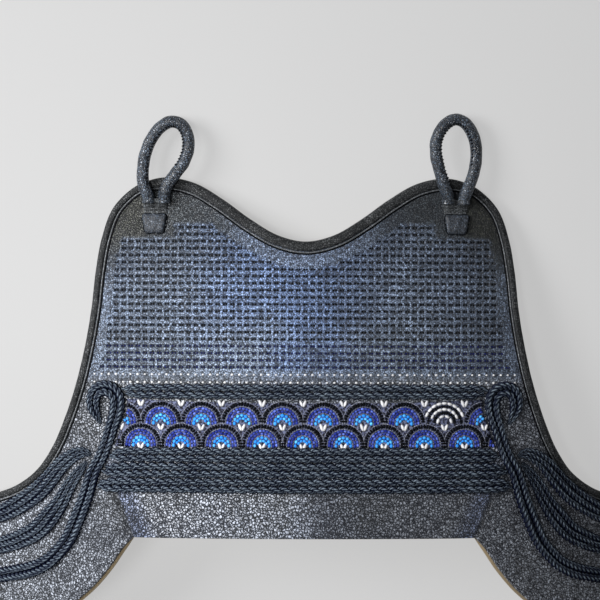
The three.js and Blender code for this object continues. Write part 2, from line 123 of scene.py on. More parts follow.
def facing(x, y):
    """The direction out of the leather at a flat point, in the world."""
    slope_x = (drop(x + STEP, y) - drop(x - STEP, y)) / (2 * STEP)
    slope_y = (drop(x, y + STEP) - drop(x, y - STEP)) / (2 * STEP)
    normal = np.stack([slope_x, slope_y, np.ones_like(slope_x)], axis=-1)
    return normal / np.linalg.norm(normal, axis=-1, keepdims=True) @ TURN.T


def place(x, y, height=0.0):
    """Flat points, at a height above the leather, as points in the world."""
    x, y, height = np.broadcast_arrays(*(np.asarray(v, float) for v in (x, y, height)))
    flat = np.stack([x, y, -drop(x, y)], axis=-1)
    return flat @ TURN.T + SHIFT + facing(x, y) * height[..., None]


print(f"tilt {math.degrees(TILT):.2f} degrees, waist edge at", np.round(place(0, 0), 4))

# %% [markdown]
# ## The outline
#
# The edge is drawn through a few listed points: the neckline, the armhole, the wing's rounded end and its
# lower edge. A centripetal Catmull-Rom curve joins them, because it passes through every point and doesn't
# swing out between close ones. Shares of the main sizes keep the points readable.

# %% The outline's points
ARMHOLE = [  # out: share from the shoulder's crest to the wing's end, up: share of the shoulder's height
    (0.085, 0.992), (0.163, 0.969), (0.251, 0.913), (0.301, 0.829), (0.327, 0.739), (0.346, 0.634),
    (0.377, 0.523), (0.42, 0.415), (0.468, 0.328), (0.524, 0.251), (0.603, 0.181), (0.707, 0.132),
    (0.823, 0.103), (0.924, 0.077),
]
WING_END = [(0.983, -0.105), (1, 0.116), (0.989, 0.442), (0.958, 0.721), (0.89, 0.953)]  # out, down
WING_HEM = [  # out: share from the waist's corner to the wing's end, down: share of the wing's drop
    (0.751, 1), (0.631, 0.959), (0.512, 0.878), (0.399, 0.762), (0.306, 0.634), (0.219, 0.494),
    (0.13, 0.308), (0.056, 0.122),
]
NECK_SHARES = (0, 0.2, 0.4, 0.6, 0.8, 1)  # from the middle to the shoulder's crest, on half a cosine wave
EDGE_GAP = 1.5 * MM  # between the points of the bound edge
HEM_GAP = 3 * MM  # between the points of a wing's lower edge


# %% The curve through them
def smooth_line(points, gap, samples=24):
    """Points a gap apart on the centripetal Catmull-Rom curve through the given ones."""
    points = np.asarray(points, float)
    full = np.vstack([2 * points[0] - points[1], points, 2 * points[-1] - points[-2]])
    pieces = []
    for a, b, c, d in zip(full, full[1:], full[2:], full[3:]):
        t0 = 0.0
        t1 = t0 + math.sqrt(np.linalg.norm(b - a))
        t2 = t1 + math.sqrt(np.linalg.norm(c - b))
        t3 = t2 + math.sqrt(np.linalg.norm(d - c))
        t = np.linspace(t1, t2, samples, endpoint=False)[:, None]
        ab = a + (b - a) * (t - t0) / (t1 - t0)
        bc = b + (c - b) * (t - t1) / (t2 - t1)
        cd = c + (d - c) * (t - t2) / (t3 - t2)
        abc = ab + (bc - ab) * (t - t0) / (t2 - t0)
        bcd = bc + (cd - bc) * (t - t1) / (t3 - t1)
        pieces.append(abc + (bcd - abc) * (t - t1) / (t2 - t1))
    fine = np.vstack([*pieces, points[-1]])
    steps = np.linalg.norm(np.diff(fine[:, :2], axis=0), axis=1)
    along = np.concatenate([[0], np.cumsum(steps)])
    wanted = np.linspace(0, along[-1], max(2, round(along[-1] / gap)) + 1)
    return np.stack([np.interp(wanted, along, column) for column in fine.T], axis=1)


def wing_point(out, y, *more):
    return (CREST_X + out * (WING_REACH - CREST_X), y, *more)


def lefts(line):
    """Unit steps to the left of a line, one for each of its points."""
    heading = np.gradient(line[:, :2], axis=0)
    heading /= np.linalg.norm(heading, axis=1, keepdims=True)
    return np.stack([-heading[:, 1], heading[:, 0]], axis=1)


def mirrored(points):
    return np.asarray(points, float)[::-1] * [-1, 1]


# %% The edge's two lines
neck = [
    (share * CREST_X, SHOULDER_HEIGHT - (1 + math.cos(math.pi * share)) / 2 * NECK_DEPTH)
    for share in NECK_SHARES
]
side = [wing_point(out, up * SHOULDER_HEIGHT) for out, up in ARMHOLE]
end = [wing_point(out, -down * WING_DROP) for out, down in WING_END]
right_edge = [*neck, *side, *end]
bound_line = smooth_line(np.vstack([right_edge[:0:-1], mirrored(right_edge)[::-1]]), EDGE_GAP)
hem_points = [(WAIST_HALF + out * (WING_REACH - WAIST_HALF), -down * WING_DROP) for out, down in WING_HEM]
hem_line = smooth_line([end[-1], *hem_points, (WAIST_HALF, 0)], HEM_GAP)
print(f"bound edge: {len(bound_line)} points, a wing's lower edge: {len(hem_line)}")

# %% [markdown]
# ## Writing node trees as sums
#
# A material or a geometry tree is easier to read as a sum than as a picture of wires. `Reading` stands for a
# socket, and an operator on it adds the Math node that works it out. Every other node comes from one method,
# `Recipe.node`, that takes its type, its settings and what goes into its sockets.

# %% Sockets as values
class Reading:
    """A node's output in a sum."""

    def __init__(self, recipe, socket):
        self.recipe = recipe
        self.socket = socket

    def out(self, name):
        return Reading(self.recipe, self.socket.node.outputs[name])

    def math(self, operation, *values):
        return self.recipe.node("ShaderNodeMath", {"operation": operation}, dict(enumerate(values)))

    def __add__(self, other):
        return self.math("ADD", self, other)

    def __sub__(self, other):
        return self.math("SUBTRACT", self, other)

    def __rsub__(self, other):
        return self.math("SUBTRACT", other, self)

    def __mul__(self, other):
        return self.math("MULTIPLY", self, other)

    def __truediv__(self, other):
        return self.math("DIVIDE", self, other)

    def __rtruediv__(self, other):
        return self.math("DIVIDE", other, self)

    __radd__ = __add__
    __rmul__ = __mul__

    def wave(self, kind="SINE"):
        return self.math(kind, self)

    def between(self, low, high, result_low=0.0, result_high=1.0):
        """0 to 1, or the given results, as the value goes softly from low to high."""
        limits = {"From Min": low, "From Max": high, "To Min": result_low, "To Max": result_high}
        inputs = {"Value": self} | limits
        return self.recipe.node("ShaderNodeMapRange", {"interpolation_type": "SMOOTHSTEP"}, inputs)


class Recipe:
    """A node tree that is written down as code."""

    def __init__(self, tree):
        self.tree = tree

    def node(self, kind, settings=None, inputs=None, out=0):
        made = self.tree.nodes.new(kind)
        for name, value in (settings or {}).items():
            setattr(made, name, value)
        for name, value in (inputs or {}).items():
            if isinstance(value, Reading):
                self.tree.links.new(value.socket, made.inputs[name])
            else:
                made.inputs[name].default_value = value
        return Reading(self, made.outputs[out]) if made.outputs else made

    def blend(self, factor, low, high):
        """A colour between two, through a Mix node."""
        low, high = (v if isinstance(v, Reading) else (*v, 1) for v in (low, high))
        inputs = {"Factor": factor, 6: low, 7: high}
        return self.node("ShaderNodeMix", {"data_type": "RGBA"}, inputs, out=2)

    def vector(self, operation, *values, out=0):
        return self.node("ShaderNodeVectorMath", {"operation": operation}, dict(enumerate(values)), out)

    def noise(self, at, scale, detail=3.0, roughness=0.55):
        inputs = {"Vector": at, "Scale": scale, "Detail": detail, "Roughness": roughness}
        return self.node("ShaderNodeTexNoise", inputs=inputs)

    def attribute(self, name, out="Fac"):
        return self.node("ShaderNodeAttribute", {"attribute_name": name}, out=out)

    def parts(self, vector):
        """A vector's first part, whose out("Y") is the second one."""
        return self.node("ShaderNodeSeparateXYZ", inputs={"Vector": vector})


def new_material(name, **constants):
    """A material with an empty recipe, and its shader with what is the same all over."""
    material = bpy.data.materials.new(name)
    material.use_nodes = True
    material.node_tree.nodes.clear()
    recipe = Recipe(material.node_tree)
    shader = recipe.node("ShaderNodeBsdfPrincipled")
    for label, value in constants.items():
        shader.socket.node.inputs[label.replace("_", " ")].default_value = value
    recipe.node("ShaderNodeOutputMaterial", inputs={"Surface": shader})
    return material, recipe, shader.socket.node


def finish_surface(recipe, shader, color, roughness, height, depth):
    """Joins a recipe's colour, roughness and relief to its shader."""
    inputs = {"Height": height, "Distance": depth, "Strength": 1.0}
    normal = recipe.node("ShaderNodeBump", inputs=inputs)
    for label, value in (("Base Color", color), ("Roughness", roughness), ("Normal", normal)):
        recipe.tree.links.new(value.socket, shader.inputs[label])


print("nodes can be written as sums")

# %% [markdown]
# ## Leather
#
# The facing is grained leather: small pebbles with dark creases between them, paler on top, partly from wear
# and partly as painted glints where the tops would catch the light. A photograph of real leather would give
# the grain quickly, but a Voronoi pattern keeps its scale and needs no picture. The distance to a cell's edge
# makes the crease, and a noise bends the cells so that they aren't straight-sided. The relief and the colour
# come from the same pattern, so a pebble's top catches the light where it is also palest.

# %% Leather grain
BROAD_CREASE = (0.03, 0.27)  # where a crease ends, in shares of a cell from its edge
UNEVEN_CELLS = 0.85  # 0 would be a grid of equal cells
BEND_SPREAD = 1.4  # how far the noise bends the cells, in shares of their size
BEND_SCALE = 0.6


def pebbles(recipe, at, size, crease=BROAD_CREASE):
    """Leather grain: how high each place stands, and how pale it is. Both are 0 in the creases. The paleness,
    brighter on some pebbles at random, is partly wear and partly painted glint.
    """
    bend = recipe.noise(at, BEND_SCALE / size, detail=1.0).out("Color")
    bend = recipe.vector("SUBTRACT", bend, (0.5,) * 3)
    bent = recipe.vector("ADD", at, recipe.vector("MULTIPLY", bend, (BEND_SPREAD * size,) * 3))
    inputs = {"Vector": bent, "Scale": 1 / size, "Randomness": UNEVEN_CELLS}
    edge = recipe.node("ShaderNodeTexVoronoi", {"feature": "DISTANCE_TO_EDGE"}, inputs)
    cell = recipe.node("ShaderNodeTexVoronoi", {"feature": "F1"}, inputs).out("Color")
    rise = edge.between(*crease)
    return rise, rise * recipe.parts(cell).between(0.1, 0.9, 0.5, 1.0)


def leather(name, crease, top, grain, depth, roughness=(0.5, 0.36), specular=0.5):
    """Plain grained leather: crease and top are its darkest and palest colours, grain and depth in metres."""
    material, recipe, shader = new_material(name, Specular_IOR_Level=specular)
    at = recipe.node("ShaderNodeTexCoord", out="Object")
    rise, pale = pebbles(recipe, at, grain)
    patches = recipe.noise(at, 45.0, detail=4.0)
    wrinkle = recipe.noise(at, 260.0, detail=2.0)
    tone = pale * patches.between(0.25, 0.75, 0.35, 1.0)
    color = recipe.blend(tone, crease, top)
    gloss = rise.between(0.0, 1.0, *roughness) + patches.between(0.3, 0.7, -0.05, 0.08)
    height = rise * 0.7 + wrinkle * 0.5 + patches * 1.2
    finish_surface(recipe, shader, color, gloss, height, depth)
    return material


DULL, SHINY = 0.2, 0.7
SMOOTH = (0.42, 0.28)  # roughness in the creases and on the pebbles
binding_leather = leather(
    "binding_hide", (0.006, 0.007, 0.008), (0.115, 0.12, 0.125), 1.6 * MM, 0.4 * MM, specular=DULL)
piping_leather = leather("piping_hide", (0.05, 0.055, 0.06), (0.4, 0.42, 0.45), 1.3 * MM, 0.2 * MM)
loop_leather = leather(
    "loop_hide", (0.003, 0.004, 0.007), (0.145, 0.19, 0.255), 1.8 * MM, 0.7 * MM, SMOOTH, SHINY)
keeper_leather = leather("keeper_hide", (0.01, 0.012, 0.016), (0.12, 0.15, 0.2), 1.4 * MM, 0.3 * MM)
tongue_leather = leather("tongue_hide", (0.006, 0.007, 0.008), (0.2, 0.22, 0.24), 1.4 * MM, 0.5 * MM)
print("leathers: binding, piping, loops, keepers and tongues")

# %% [markdown]
# ## Sheets cut to the outline
#
# The facing and the lining are flat sheets before they are bent. A grid alone would leave a stair at the
# edge, and filling the outline alone would leave no points to bend. A constrained Delaunay fill does both:
# it keeps the cut edge exactly and joins it to an even, staggered grid inside. Each flat point is then put
# on the bent surface twice, at the sheet's top and at its back, and the rim is closed with a wall.

# %% The outline, drawn in by a seam's width
HELD_CORNER = 12 * MM  # the stretch of a wing's lower edge that runs back to the waist's corner
WAIST_POINTS = 100


def outline(edge_inset, hem_inset=0.0):
    """The whole outline, anticlockwise, drawn in along its bound part and along the wings' lower edges."""
    bound = bound_line + lefts(bound_line) * edge_inset
    to_corner = np.linalg.norm(hem_line - hem_line[-1], axis=1)
    held = smooth_step(0, HELD_CORNER, to_corner)[:, None]
    right_hem = hem_line - lefts(hem_line) * hem_inset * held
    waist = np.stack([np.linspace(-WAIST_HALF, WAIST_HALF, WAIST_POINTS), np.zeros(WAIST_POINTS)], axis=1)
    return np.vstack([bound, right_hem[1:] * [-1, 1], waist[1:-1], right_hem[:0:-1]])


def is_inside(points, edge):
    """Whether flat points lie inside a closed outline."""
    inside = np.zeros(len(points), bool)
    for (ax, ay), (bx, by) in zip(edge, np.roll(edge, -1, axis=0)):
        if ay == by:
            continue
        crossed = (points[:, 1] < ay) != (points[:, 1] < by)
        meets = ax + (points[:, 1] - ay) / (by - ay) * (bx - ax)
        inside ^= crossed & (points[:, 0] < meets)
    return inside


def distance_to(points, line):
    """How far each flat point is from the nearest point of a line, and which point that is."""
    far = [np.linalg.norm(line - point, axis=1) for point in points]
    nearest = np.array([row.argmin() for row in far], int)
    return np.array([row.min() for row in far]), nearest


print("whole outline:", len(outline(0)), "points")


# %% Meshes and objects
def add_object(name, mesh, material=None):
    piece = bpy.data.objects.new(name, mesh)
    bpy.context.scene.collection.objects.link(piece)
    if material:
        mesh.materials.append(material)
    return piece


def make_mesh(name, points, faces, attributes=None):
    mesh = bpy.data.meshes.new(name)
    mesh.from_pydata(np.asarray(points).tolist(), [], faces)
    for label, values in (attributes or {}).items():
        kind = "FLOAT" if values.ndim == 1 else "FLOAT_VECTOR"
        layer = mesh.attributes.new(label, kind, "POINT")
        layer.data.foreach_set("value" if kind == "FLOAT" else "vector", values.astype(float).ravel())
    mesh.shade_smooth()
    return mesh


def sides_of(faces):
    return {(a, b) for face in faces for a, b in zip(face, face[1:] + face[:1])}


def rim_of(faces):
    """The sides that only one face has, in that face's own direction."""
    sides = sides_of(faces)
    return [(a, b) for a, b in sides if (b, a) not in sides]


def closing_faces(faces, rim, count):
    """A sheet's underside and its walls, when its lower points follow the upper ones, count of them."""
    under = [[v + count for v in face[::-1]] for face in faces]
    return under + [[a + count, b + count, b, a] for a, b in rim]


# %% Filling and bending a sheet
ROW_SHARE = 0.87  # the rows of a staggered grid are closer together than its points
EDGE_ROOM = 0.55  # how far the grid keeps from the cut edge, in cells
SAME_POINT = 1e-7
INSIDE_ONLY = 1  # the fill's own number for keeping what lies inside the outline


def fill(edge, cell):
    """An even fill of an outline: its flat points and its triangles, anticlockwise."""
    low, high = edge.min(axis=0), edge.max(axis=0)
    columns = np.arange(low[0], high[0], cell)
    rows = np.arange(low[1], high[1], cell * ROW_SHARE)
    grid = np.array([(x + cell / 2 * (i % 2), y) for i, y in enumerate(rows) for x in columns])
    grid = grid[is_inside(grid, edge)]
    grid = grid[distance_to(grid, edge)[0] > EDGE_ROOM * cell]
    rim = [(i, (i + 1) % len(edge)) for i in range(len(edge))]
    spots = [Vector(p) for p in np.vstack([edge, grid])]
    points, _, faces, *_ = delaunay_2d_cdt(spots, rim, [], INSIDE_ONLY, SAME_POINT)
    points = np.array([p[:] for p in points])
    a, b, c = (points[[face[k] for face in faces]] for k in range(3))
    ahead, aside = b - a, c - a
    turns = ahead[:, 0] * aside[:, 1] - ahead[:, 1] * aside[:, 0] > 0
    return points, [list(face) if left else list(face)[::-1] for face, left in zip(faces, turns)]


def bent_sheet(name, edge, low, high, cell, attributes=None):
    """A closed sheet between two heights, on the bent surface."""
    flat, faces = fill(edge, cell)
    count = len(flat)
    rim = rim_of(faces)
    points = np.vstack([place(*flat.T, high), place(*flat.T, low)])
    values = {"flat": np.tile(np.column_stack([flat, np.zeros(count)]), (2, 1))}
    values |= {label: np.tile(work(flat), 2) for label, work in (attributes or {}).items()}
    mesh = make_mesh(name, points, faces + closing_faces(faces, rim, count), values)
    print(f"{name}: {len(mesh.polygons)} faces, {len(rim)} along its rim")
    return mesh


# %% [markdown]
# ## Where the quilting goes
#
# Twenty-one rows of short stitches quilt the chest. They stop short of the bindings, and the upper two keep
# between the keepers. The same rule decides where a stitch is sewn and where the leather is pulled in, so it
# is written once, as a function of the flat point.

# %% The field of stitches
NECK_BINDING = 9.5 * MM
SIDE_BINDING = 7 * MM
NECK_MARGIN = 12 * MM  # plain leather between the binding and the first stitches
SIDE_MARGIN = 9 * MM
ROW_LOW = 136 * MM
ROW_GAP = 5.56 * MM
ROW_COUNT = 21
SHORT_ROWS = 2  # the upper rows, which keep between the keepers
SHORT_REACH = 104 * MM
STITCH_GAP = 5.8 * MM


def is_quilted(flat):
    """1 where the chest is quilted, 0 elsewhere."""
    away, nearest = distance_to(flat, bound_line)
    beside = bound_line[nearest]
    at_neck = (np.abs(beside[:, 0]) < CREST_X) & (beside[:, 1] > SHOULDER_HEIGHT / 2)
    margin = np.where(at_neck, NECK_BINDING + NECK_MARGIN, SIDE_BINDING + SIDE_MARGIN)
    rows = np.where(np.abs(flat[:, 0]) < SHORT_REACH, ROW_COUNT, ROW_COUNT - SHORT_ROWS)
    in_rows = (flat[:, 1] > ROW_LOW - ROW_GAP / 2) & (flat[:, 1] < ROW_LOW + (rows - 0.5) * ROW_GAP)
    return ((away > margin) & in_rows & is_inside(flat, outline(0))).astype(float)


print("rows from", ROW_LOW, "to", round(ROW_LOW + (ROW_COUNT - 1) * ROW_GAP, 4))

# %% [markdown]
# ## The facing
#
# The facing is the leather that shows. Between the rows of stitches it stands up in soft welts, each stitch
# pulls a small dimple, and the wings fold back along a slanting crease. Modelling every dimple would take
# hundreds of thousands of faces, so they are relief in the material, worked out from the flat pattern that
# the mesh carries as an attribute.

# %% Dimples and folds
def soft_steps(at, rows):
    """The product of several soft steps: from and to in millimetres, and the value before and after."""
    return math.prod(at.between(low * MM, high * MM, before, after) for low, high, before, after in rows)


def dimples(across, up):
    """1 where a stitch pulls the leather in, and a little along its whole row."""
    from_row = ((up - ROW_LOW) / ROW_GAP + 0.5).wave("FRACT") - 0.5
    from_stitch = (across / STITCH_GAP + 0.5).wave("FRACT") - 0.5
    in_row = 1 - from_row.wave("ABSOLUTE").between(0.1, 0.3)
    at_stitch = 1 - from_stitch.wave("ABSOLUTE").between(0.24, 0.42)
    return in_row * (0.08 + at_stitch * 0.92)


def wing_folds(across, up):
    """The crease where a wing folds back, the painted shade outside it and the painted blue sheen inside it.
    The crease darkens the colour too, as painted shade.
    """
    from_fold = across.wave("ABSOLUTE") - WAIST_HALF - up * 0.4
    low = 1 - up.between(45 * MM, 75 * MM)
    crease = (1 - from_fold.wave("ABSOLUTE").between(0.6 * MM, 3.2 * MM)) * low
    shade = soft_steps(from_fold, [(-1, 1, 0, 1), (2, 16, 1, 0)]) * low
    painted_blue_sheen = soft_steps(from_fold, [(-24, -8, 0, 1), (-3, 0, 1, 0)]) * low
    return crease, shade, painted_blue_sheen


# %% [markdown]
# Light from the upper left is partly painted into the panel's colour. A painted sheen makes it palest left of
# the middle, painted shade makes it darkest at the right side, and a painted blue sheen makes the quilting
# bluest in its middle. The shoulders are darker too, and the chest darker towards the neck. Noise alone would
# put pale and dark places anywhere, so the large ones are soft steps across the flat pattern and up it, and
# noise only breaks them up.

# %% Painted sheen and shade, and colour
CHEST_PAINTED_SHEEN_AND_SHADE = [(-140, -35, 1, 1.65), (-18, 30, 1, 0.66), (80, 150, 1, 0.6)]  # across
CHEST_TOP_DARKENING = [(190, 240, 1, 0.62)]  # up
HEM_PAINTED_SHEEN_AND_SHADE = [(-4, 14, 1.35, 0.5), (50, 110, 1, 1.1)]  # across
WING_PAINTED_SHEEN = [(-250, -180, 1.45, 1)]  # across
HEM_TOP = [(34, 40, 1, 0)]  # up
HEM_SIDES = [(125, 140, 1, 0)]  # away from the middle
BLUE_MIDDLE = -18 * MM


# Painted sheen and painted shade in soft steps: the hem pale left of its middle and dark right of it, the
# chest palest just left of its middle and darkest at its right side, the left wing's end pale. The chest is
# also darker towards the neck.
def painted_sheen_and_shade(across, up, on_chest):
    on_hem = soft_steps(up, HEM_TOP) * soft_steps(across.wave("ABSOLUTE"), HEM_SIDES)
    hem = 1 - on_hem + on_hem * soft_steps(across, HEM_PAINTED_SHEEN_AND_SHADE)
    chest = soft_steps(across, CHEST_PAINTED_SHEEN_AND_SHADE) * soft_steps(up, CHEST_TOP_DARKENING)
    return hem * (1 - on_chest + on_chest * chest) * soft_steps(across, WING_PAINTED_SHEEN)


def pebble_colour(recipe, across, up, on_chest, quilted, clouds, painted_blue_sheen):
    """The colour of the pebbles' tops: grey, with a painted blue sheen in the quilting's middle and inside
    the wings' folds, darker on the shoulders.
    """
    away = across.wave("ABSOLUTE")
    grey = recipe.blend(on_chest, (0.52, 0.56, 0.64), (0.435, 0.55, 0.76))
    blue = recipe.blend(on_chest, (0.38, 0.46, 0.66), (0.32, 0.47, 0.84))
    # The painted blue sheen: strongest in the quilting's middle, broken up by the clouds.
    central = 1 - (across - BLUE_MIDDLE).wave("ABSOLUTE").between(25 * MM, 95 * MM, 0.0, 0.88)
    top = recipe.blend(clouds.between(0.3, 0.58) * central * (0.3 + quilted * 0.7), grey, blue)
    top = recipe.blend(painted_blue_sheen * 0.6, top, (0.17, 0.24, 0.48))
    shoulder = (1 - quilted) * up.between(200 * MM, 250 * MM)
    top = recipe.blend(shoulder * away.between(35 * MM, 75 * MM), top, (0.13, 0.155, 0.18))
    return recipe.blend(shoulder * away.between(118 * MM, 134 * MM), top, (0.11, 0.115, 0.085))


# %% [markdown]
# On the chest the grain is fine; on the wings and the hem it is coarse, and a mask on the flat pattern's
# height blends the two. The creases between the full pebbles are thin here, and small wrinkles run through
# them.

# %% The facing's leather
THIN_CREASE = (0.0, 0.2)
FINE_PEBBLE = 1.5 * MM
COARSE_PEBBLE = 2.2 * MM
WRINKLE_STRETCH = (1.0, 0.55, 1.0)
FACING_RELIEF = 0.5 * MM


def facing_leather(name):
    material, recipe, shader = new_material(name, Specular_IOR_Level=0.5)
    at = recipe.node("ShaderNodeTexCoord", out="Object")
    across = recipe.parts(recipe.attribute("flat", "Vector"))
    up = across.out("Y")
    quilted = recipe.attribute("quilted")
    on_chest = up.between(121 * MM, 133 * MM)
    fine_rise, fine_pale = pebbles(recipe, at, FINE_PEBBLE, THIN_CREASE)
    coarse_rise, coarse_pale = pebbles(recipe, at, COARSE_PEBBLE, THIN_CREASE)
    rise = coarse_rise * (1 - on_chest) + fine_rise * on_chest
    pale = coarse_pale * (1 - on_chest) + fine_pale * on_chest

    patches = recipe.noise(at, 30.0, detail=4.0)
    clouds = recipe.noise(at, 9.0, detail=2.0)
    wrinkles = recipe.noise(recipe.vector("MULTIPLY", at, WRINKLE_STRETCH), 620.0, detail=2.0)
    wear_and_painted_light = patches.between(0.3, 0.7, 0.7, 1.0) * wrinkles.between(0.36, 0.62, 0.3, 1.0)
    # Random wear, and on top of it the painted sheen and shade.
    wear_and_painted_light = wear_and_painted_light * painted_sheen_and_shade(across, up, on_chest)
    # In the colour the leather is darkened in the dimples and along the rows, in the wing's crease and just
    # outside it: painted shade.
    pulled = dimples(across, up) * quilted
    fold, shade, painted_blue_sheen = wing_folds(across, up)
    tone = pale * wear_and_painted_light * (1 - pulled * 0.92) * (1 - fold * 0.5) * (1 - shade * 0.45)

    crease = recipe.blend(clouds.between(0.35, 0.65), (0.002, 0.003, 0.004), (0.002, 0.004, 0.01))
    top = pebble_colour(recipe, across, up, on_chest, quilted, clouds, painted_blue_sheen)
    gloss = rise.between(0.0, 1.0, 0.62, 0.36) + patches.between(0.3, 0.7, -0.04, 0.06)
    grain = rise * (1.7 - on_chest) + recipe.noise(at, 420.0) * 0.5 + patches
    height = grain - pulled * 1.8 - fold * 2
    finish_surface(recipe, shader, recipe.blend(tone, crease, top), gloss, height, FACING_RELIEF)
    return material


# %% [markdown]
# The facing is drawn in under the binding, and along the wings' lower edges it stops a little short, because
# there the photographed panel shows its pale raw edge.

# %% The facing
PANEL_THICKNESS = 3.5 * MM
BINDING_WALL = 1.2 * MM
RAW_EDGE = 0.9 * MM  # how far the facing stops short, and the lining reaches out
mesh = bent_sheet(
    "leather_facing", outline(BINDING_WALL + CLEARANCE, RAW_EDGE), -PANEL_THICKNESS, 0, 3.2 * MM,
    {"quilted": is_quilted},
)
leather_facing = add_object("leather_facing", mesh, facing_leather("panel_leather"))
round_over = leather_facing.modifiers.new("round_over", "BEVEL")
round_over.width = 0.5 * MM
round_over.segments = 2
round_over.angle_limit = math.radians(60)
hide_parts("chest_panel")

# %% [markdown]
# ## The lining
#
# The back is lined with undyed leather, flesh side out, so it is tan, dull and a little hairy, with darker
# stains. It reaches just past the facing at the wings' lower edges, where it shows as a pale line from the
# front.

# %% The lining
LINING_THICKNESS = 1.5 * MM
LINING_PRESSED = 0.3 * MM  # how far it is pressed into the facing's back


def flesh_side(name):
    material, recipe, shader = new_material(name, Specular_IOR_Level=0.3, Sheen_Weight=0.25)
    at = recipe.node("ShaderNodeTexCoord", out="Object")
    stretched = recipe.vector("MULTIPLY", at, (1.0, 0.35, 1.0))
    fibres = recipe.noise(stretched, 900.0, detail=4.0)
    nap = recipe.noise(at, 60.0, detail=5.0)
    stains = recipe.noise(at, 12.0, detail=3.0)
    pale = recipe.blend(nap, (0.2, 0.145, 0.08), (0.33, 0.26, 0.16))
    color = recipe.blend(stains.between(0.55, 0.8, 0.0, 0.45), pale, (0.13, 0.09, 0.05))
    gloss = fibres.between(0.2, 0.8, 0.75, 0.95)
    finish_surface(recipe, shader, color, gloss, fibres * 0.6 + nap, 0.3 * MM)
    return material


lining_top = -PANEL_THICKNESS - CLEARANCE
mesh = bent_sheet(
    "hide_lining", outline(BINDING_WALL + CLEARANCE, -RAW_EDGE), lining_top - LINING_THICKNESS,
    lining_top + LINING_PRESSED, 5 * MM,
)
hide_lining = add_object("hide_lining", mesh, flesh_side("lining_leather"))
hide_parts("back_lining")

# %% [markdown]
# ## The binding
#
# A strip of smooth leather is folded over the edge, from the front to the back, and a thin piping is caught
# in its inner seam. Its section is the same all along, only wider at the neck than down the armholes, so it
# is a section swept along the bound edge. A curve with a profile would twist where the panel bends; here each
# section is put on the bent surface point by point, so it always lies flat on the leather.

# %% Sweeping a section along a line
def swept(line, section):
    """Rings of points for a closed section swept along a flat line, and the faces of the closed tube.
    section(point) gives two arrays, how far each corner is to the left of the line and how high."""
    rings = []
    for point, left in zip(line[:, :2], lefts(line)):
        aside, height = section(point)
        flat = point + left * aside[:, None]
        rings.append(place(*flat.T, height))
    size = len(rings[0])
    last = (len(rings) - 1) * size
    faces = [
        [r * size + i, (r + 1) * size + i, (r + 1) * size + (i + 1) % size, r * size + (i + 1) % size]
        for r in range(len(rings) - 1) for i in range(size)
    ]
    faces += [list(range(size)), [last + i for i in range(size)][::-1]]
    return np.vstack(rings), faces


def round_section(middle, height, radii, angles):
    angles = np.radians(angles)
    return middle + radii[0] * np.cos(angles), height + radii[1] * np.sin(angles)


# %% The binding's section
BINDING_TOP = CLEARANCE + BINDING_WALL
BINDING_CROWN = 0.9 * MM
BINDING_BACK = 6 * MM
BINDING_NARROWING = 27.5 * MM
PIPING = 0.55 * MM  # the radius of the piping in the binding's inner seam
SEAM_SHADOW = (0.75 * MM, 0.5 * MM)  # half of its width and of its height
FLOOR_GAP = 0.02 * MM
binding_under = -(PANEL_THICKNESS + CLEARANCE + LINING_THICKNESS) - 2 * CLEARANCE
binding_bottom = binding_under - BINDING_WALL


def binding_width(x, y):
    """The strip is wide at the neck and narrower down the armholes."""
    past_crest = smooth_step(CREST_X, CREST_X + BINDING_NARROWING, abs(x))
    on_side = past_crest if y > SHOULDER_HEIGHT / 2 else 1
    return NECK_BINDING + (SIDE_BINDING - NECK_BINDING) * on_side


def binding_section(point):
    """The folded strip, from the back's edge round the front to the seam."""
    width = binding_width(*point)
    top, crown = BINDING_TOP, BINDING_TOP + BINDING_CROWN
    seam = width - 2.6 * PIPING
    tucked = CLEARANCE - 0.2 * MM
    rows = [
        (BINDING_BACK, binding_under), (BINDING_BACK, binding_bottom + 0.3 * MM),
        (BINDING_BACK - 0.5 * MM, binding_bottom), (1.6 * MM, binding_bottom),
        (0.6 * MM, binding_bottom + 0.3 * MM), (0.12 * MM, binding_bottom + 1.0 * MM),
        (0, binding_bottom + 2.2 * MM), (0, -1.6 * MM), (0.1 * MM, -0.3 * MM), (0.4 * MM, 0.8 * MM),
        (0.1 * width, top + 0.15 * MM), (0.25 * width, crown - 0.2 * MM), (0.42 * width, crown),
        (0.6 * width, crown - 0.08 * MM), (0.88 * seam, top + 0.5 * MM), (seam - 0.25 * MM, top),
        (seam, top - 0.5 * MM), (seam, tucked), (BINDING_WALL, tucked), (BINDING_WALL, binding_under),
    ]
    aside, height = np.array(rows).T
    return aside, height


def piping_section(point):
    """The piping is round, and lies on the leather beside the strip."""
    middle = binding_width(*point) - PIPING
    return round_section(middle, 0.9 * PIPING, (PIPING, PIPING), np.arange(200, -160, -36))


def seam_section(point):
    """A dark tube fills the corner between the piping and the leather: a painted shadow of the gap there."""
    middle = binding_width(*point) + 0.55 * MM
    return round_section(middle, 0.1 * MM, SEAM_SHADOW, np.arange(180, -180, -45))


def pressed_flat(points):
    """The leather is pressed flat where it rests on the floor."""
    points[:, 2] = np.maximum(points[:, 2], FLOOR_GAP)
    return points


print(f"binding: {NECK_BINDING:.4f} wide at the neck, {SIDE_BINDING:.4f} down the armholes")

# %% The binding
points, faces = swept(bound_line, binding_section)
soft = np.sin(points[:, 0] * 310 + points[:, 1] * 170) * np.sin(points[:, 1] * 230 - points[:, 0] * 90)
points = pressed_flat(points + soft[:, None] * facing(points[:, 0], points[:, 1]) * 0.12 * MM)
leather_binding = add_object("leather_binding", make_mesh("leather_binding", points, faces), binding_leather)
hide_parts("edge_binding")
points, faces = swept(bound_line, piping_section)
add_object("seam_piping", make_mesh("seam_piping", points, faces), piping_leather)
